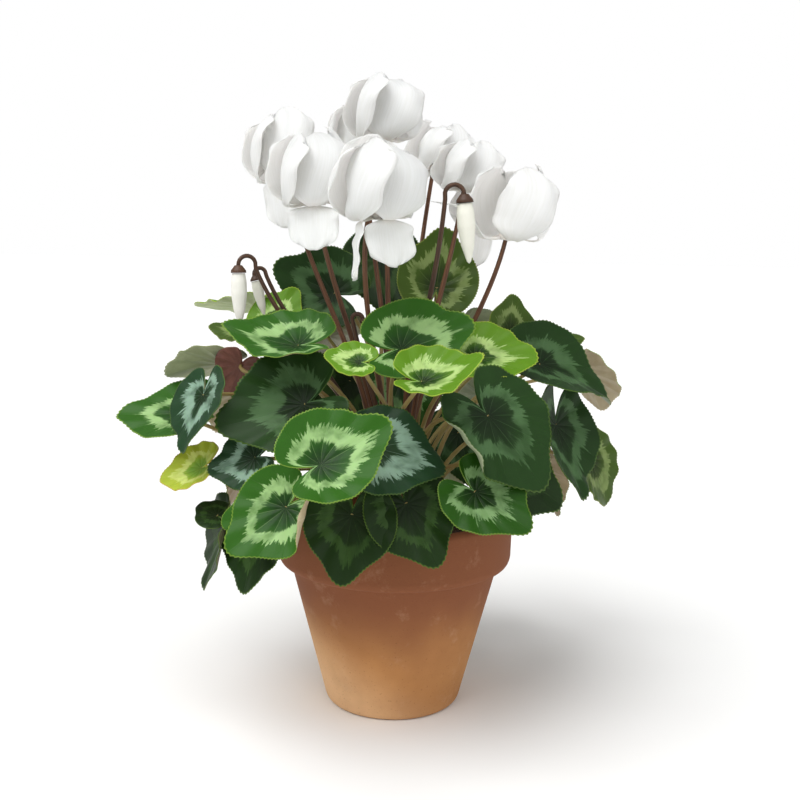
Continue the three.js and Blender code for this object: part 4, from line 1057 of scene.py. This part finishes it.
for number, bud in enumerate(buds):
    down, first, second = axes_along(bud.hang)
    axes = (down, -first, -second)
    top = np.array(bud.top, dtype=float)
    body = np.array(BUD_OUTLINE) * bud.scale
    if bud.name == "spent":
        body[0] = (0, 4 * bud.scale)
    level = math.radians(bud.side)
    to_stem = np.array([math.cos(level), math.sin(level), 0])
    to_stem = to_stem - down * (to_stem @ down)
    to_stem /= np.linalg.norm(to_stem)
    stem_shells = [
        turned_shell(dense(np.array(BUD_CALYX) * bud.scale, 0.6), FLOWER_COLUMNS, round_section,
                     axes, top, (0.5, 0, number)),
        hooked_stem(feet["bud " + bud.name], top, to_stem, -down, bud.hook, BUD_STEM_LEAN, 0,
                    number),
    ]
    bud_shell = turned_shell(dense(body, 0.8), FLOWER_COLUMNS, furled, axes, top, (0.5, 0, number))
    if bud.name == "spent":
        spent = make_piece("spent_bloom", stem_shells + [bud_shell], [bud_stem_dark])
        stands_for(spent, "flower_stem", "bud_spent")
    else:
        bud_petals = make_piece("bud_petals_" + bud.name, [bud_shell], [bud_cream])
        stands_for(bud_petals, "petal", "bud_" + bud.name + "_petals")
        bud_stem = make_piece("bud_stem_" + bud.name, stem_shells, [bud_stem_dark])
        stands_for(bud_stem, "flower_stem", "bud_" + bud.name + "_stem")

# ------------------------------------------------------------- the floor, the light, the camera
# A white studio floor that runs out of sight under a white sky, a large soft light high on the
# left and a weaker one on the right. The camera stands level with the upper leaves and looks
# slightly down.
FLOOR_HALF = 40.0
FLOOR_DROP = 0.2 * MILLIMETRE

floor_mesh = bpy.data.meshes.new("studio_floor")
corners = [(FLOOR_HALF * x, FLOOR_HALF * y, -FLOOR_DROP)
           for x, y in ((-1, -1), (1, -1), (1, 1), (-1, 1))]
floor_mesh.from_pydata(corners, [], [(0, 1, 2, 3)])
floor = bpy.data.objects.new("studio_floor", floor_mesh)
bpy.context.scene.collection.objects.link(floor)
floor_paint, add = new_material("studio_white")
grain = add("TexNoise", {"Vector": add("TexCoord", output="Object"), "Scale": 3.0})
colour = layered(add, "#f6f6f5", [(grain, "#f2f2f1")])
add("OutputMaterial", [add("BsdfPrincipled", {"Base Color": colour, "Roughness": 0.9})], None)
floor_mesh.materials.append(floor_paint)


def soft_sun(name, place, strength, spread):
    """A very soft distant light that shines from a direction, spread degrees wide."""
    lamp = bpy.data.lights.new(name, "SUN")
    lamp.energy = strength
    lamp.angle = math.radians(spread)
    made = bpy.data.objects.new(name, lamp)
    made.rotation_euler = Vector(place).to_track_quat("Z", "Y").to_euler()
    bpy.context.scene.collection.objects.link(made)


soft_sun("key_light", (-0.5, -0.5, 1.3), 2.8, 50)
soft_sun("fill_light", (0.9, -0.9, 0.5), 0.8, 80)

world = bpy.data.worlds.new("studio_sky")
world.use_nodes = True
world.node_tree.nodes.clear()
add = node_adder(world.node_tree)
sky = add("Background", {"Color": (1, 1, 1, 1), "Strength": 0.38})
backdrop = add("Background", {"Color": (1, 1, 1, 1), "Strength": 1.0})
seen = add("LightPath", output="Is Camera Ray")
add("OutputWorld", [add("MixShader", [seen, sky, backdrop])], None)
bpy.context.scene.world = world
bpy.context.scene.view_settings.view_transform = "Standard"

CAMERA_PLACE = Vector((0.0017, -0.589, 0.268))
CAMERA_DOWN = math.radians(8.25)
CAMERA_ROLL = math.radians(1.0)
LENS = 45.0

camera_data = bpy.data.cameras.new("camera")
camera_data.lens = LENS
camera_data.sensor_width = 36.0
camera_data.clip_start = 0.01
camera_data.clip_end = 50.0
camera = bpy.data.objects.new("camera", camera_data)
ahead = Vector((0, math.cos(CAMERA_DOWN), -math.sin(CAMERA_DOWN)))
level_up = Vector((0, math.sin(CAMERA_DOWN), math.cos(CAMERA_DOWN)))
level_right = Vector((1, 0, 0))
right = level_right * math.cos(CAMERA_ROLL) + level_up * math.sin(CAMERA_ROLL)
upward = level_up * math.cos(CAMERA_ROLL) - level_right * math.sin(CAMERA_ROLL)
turn = Matrix((right, upward, -ahead)).transposed().to_4x4()
camera.matrix_world = Matrix.Translation(CAMERA_PLACE) @ turn
bpy.context.scene.collection.objects.link(camera)
bpy.context.scene.camera = camera
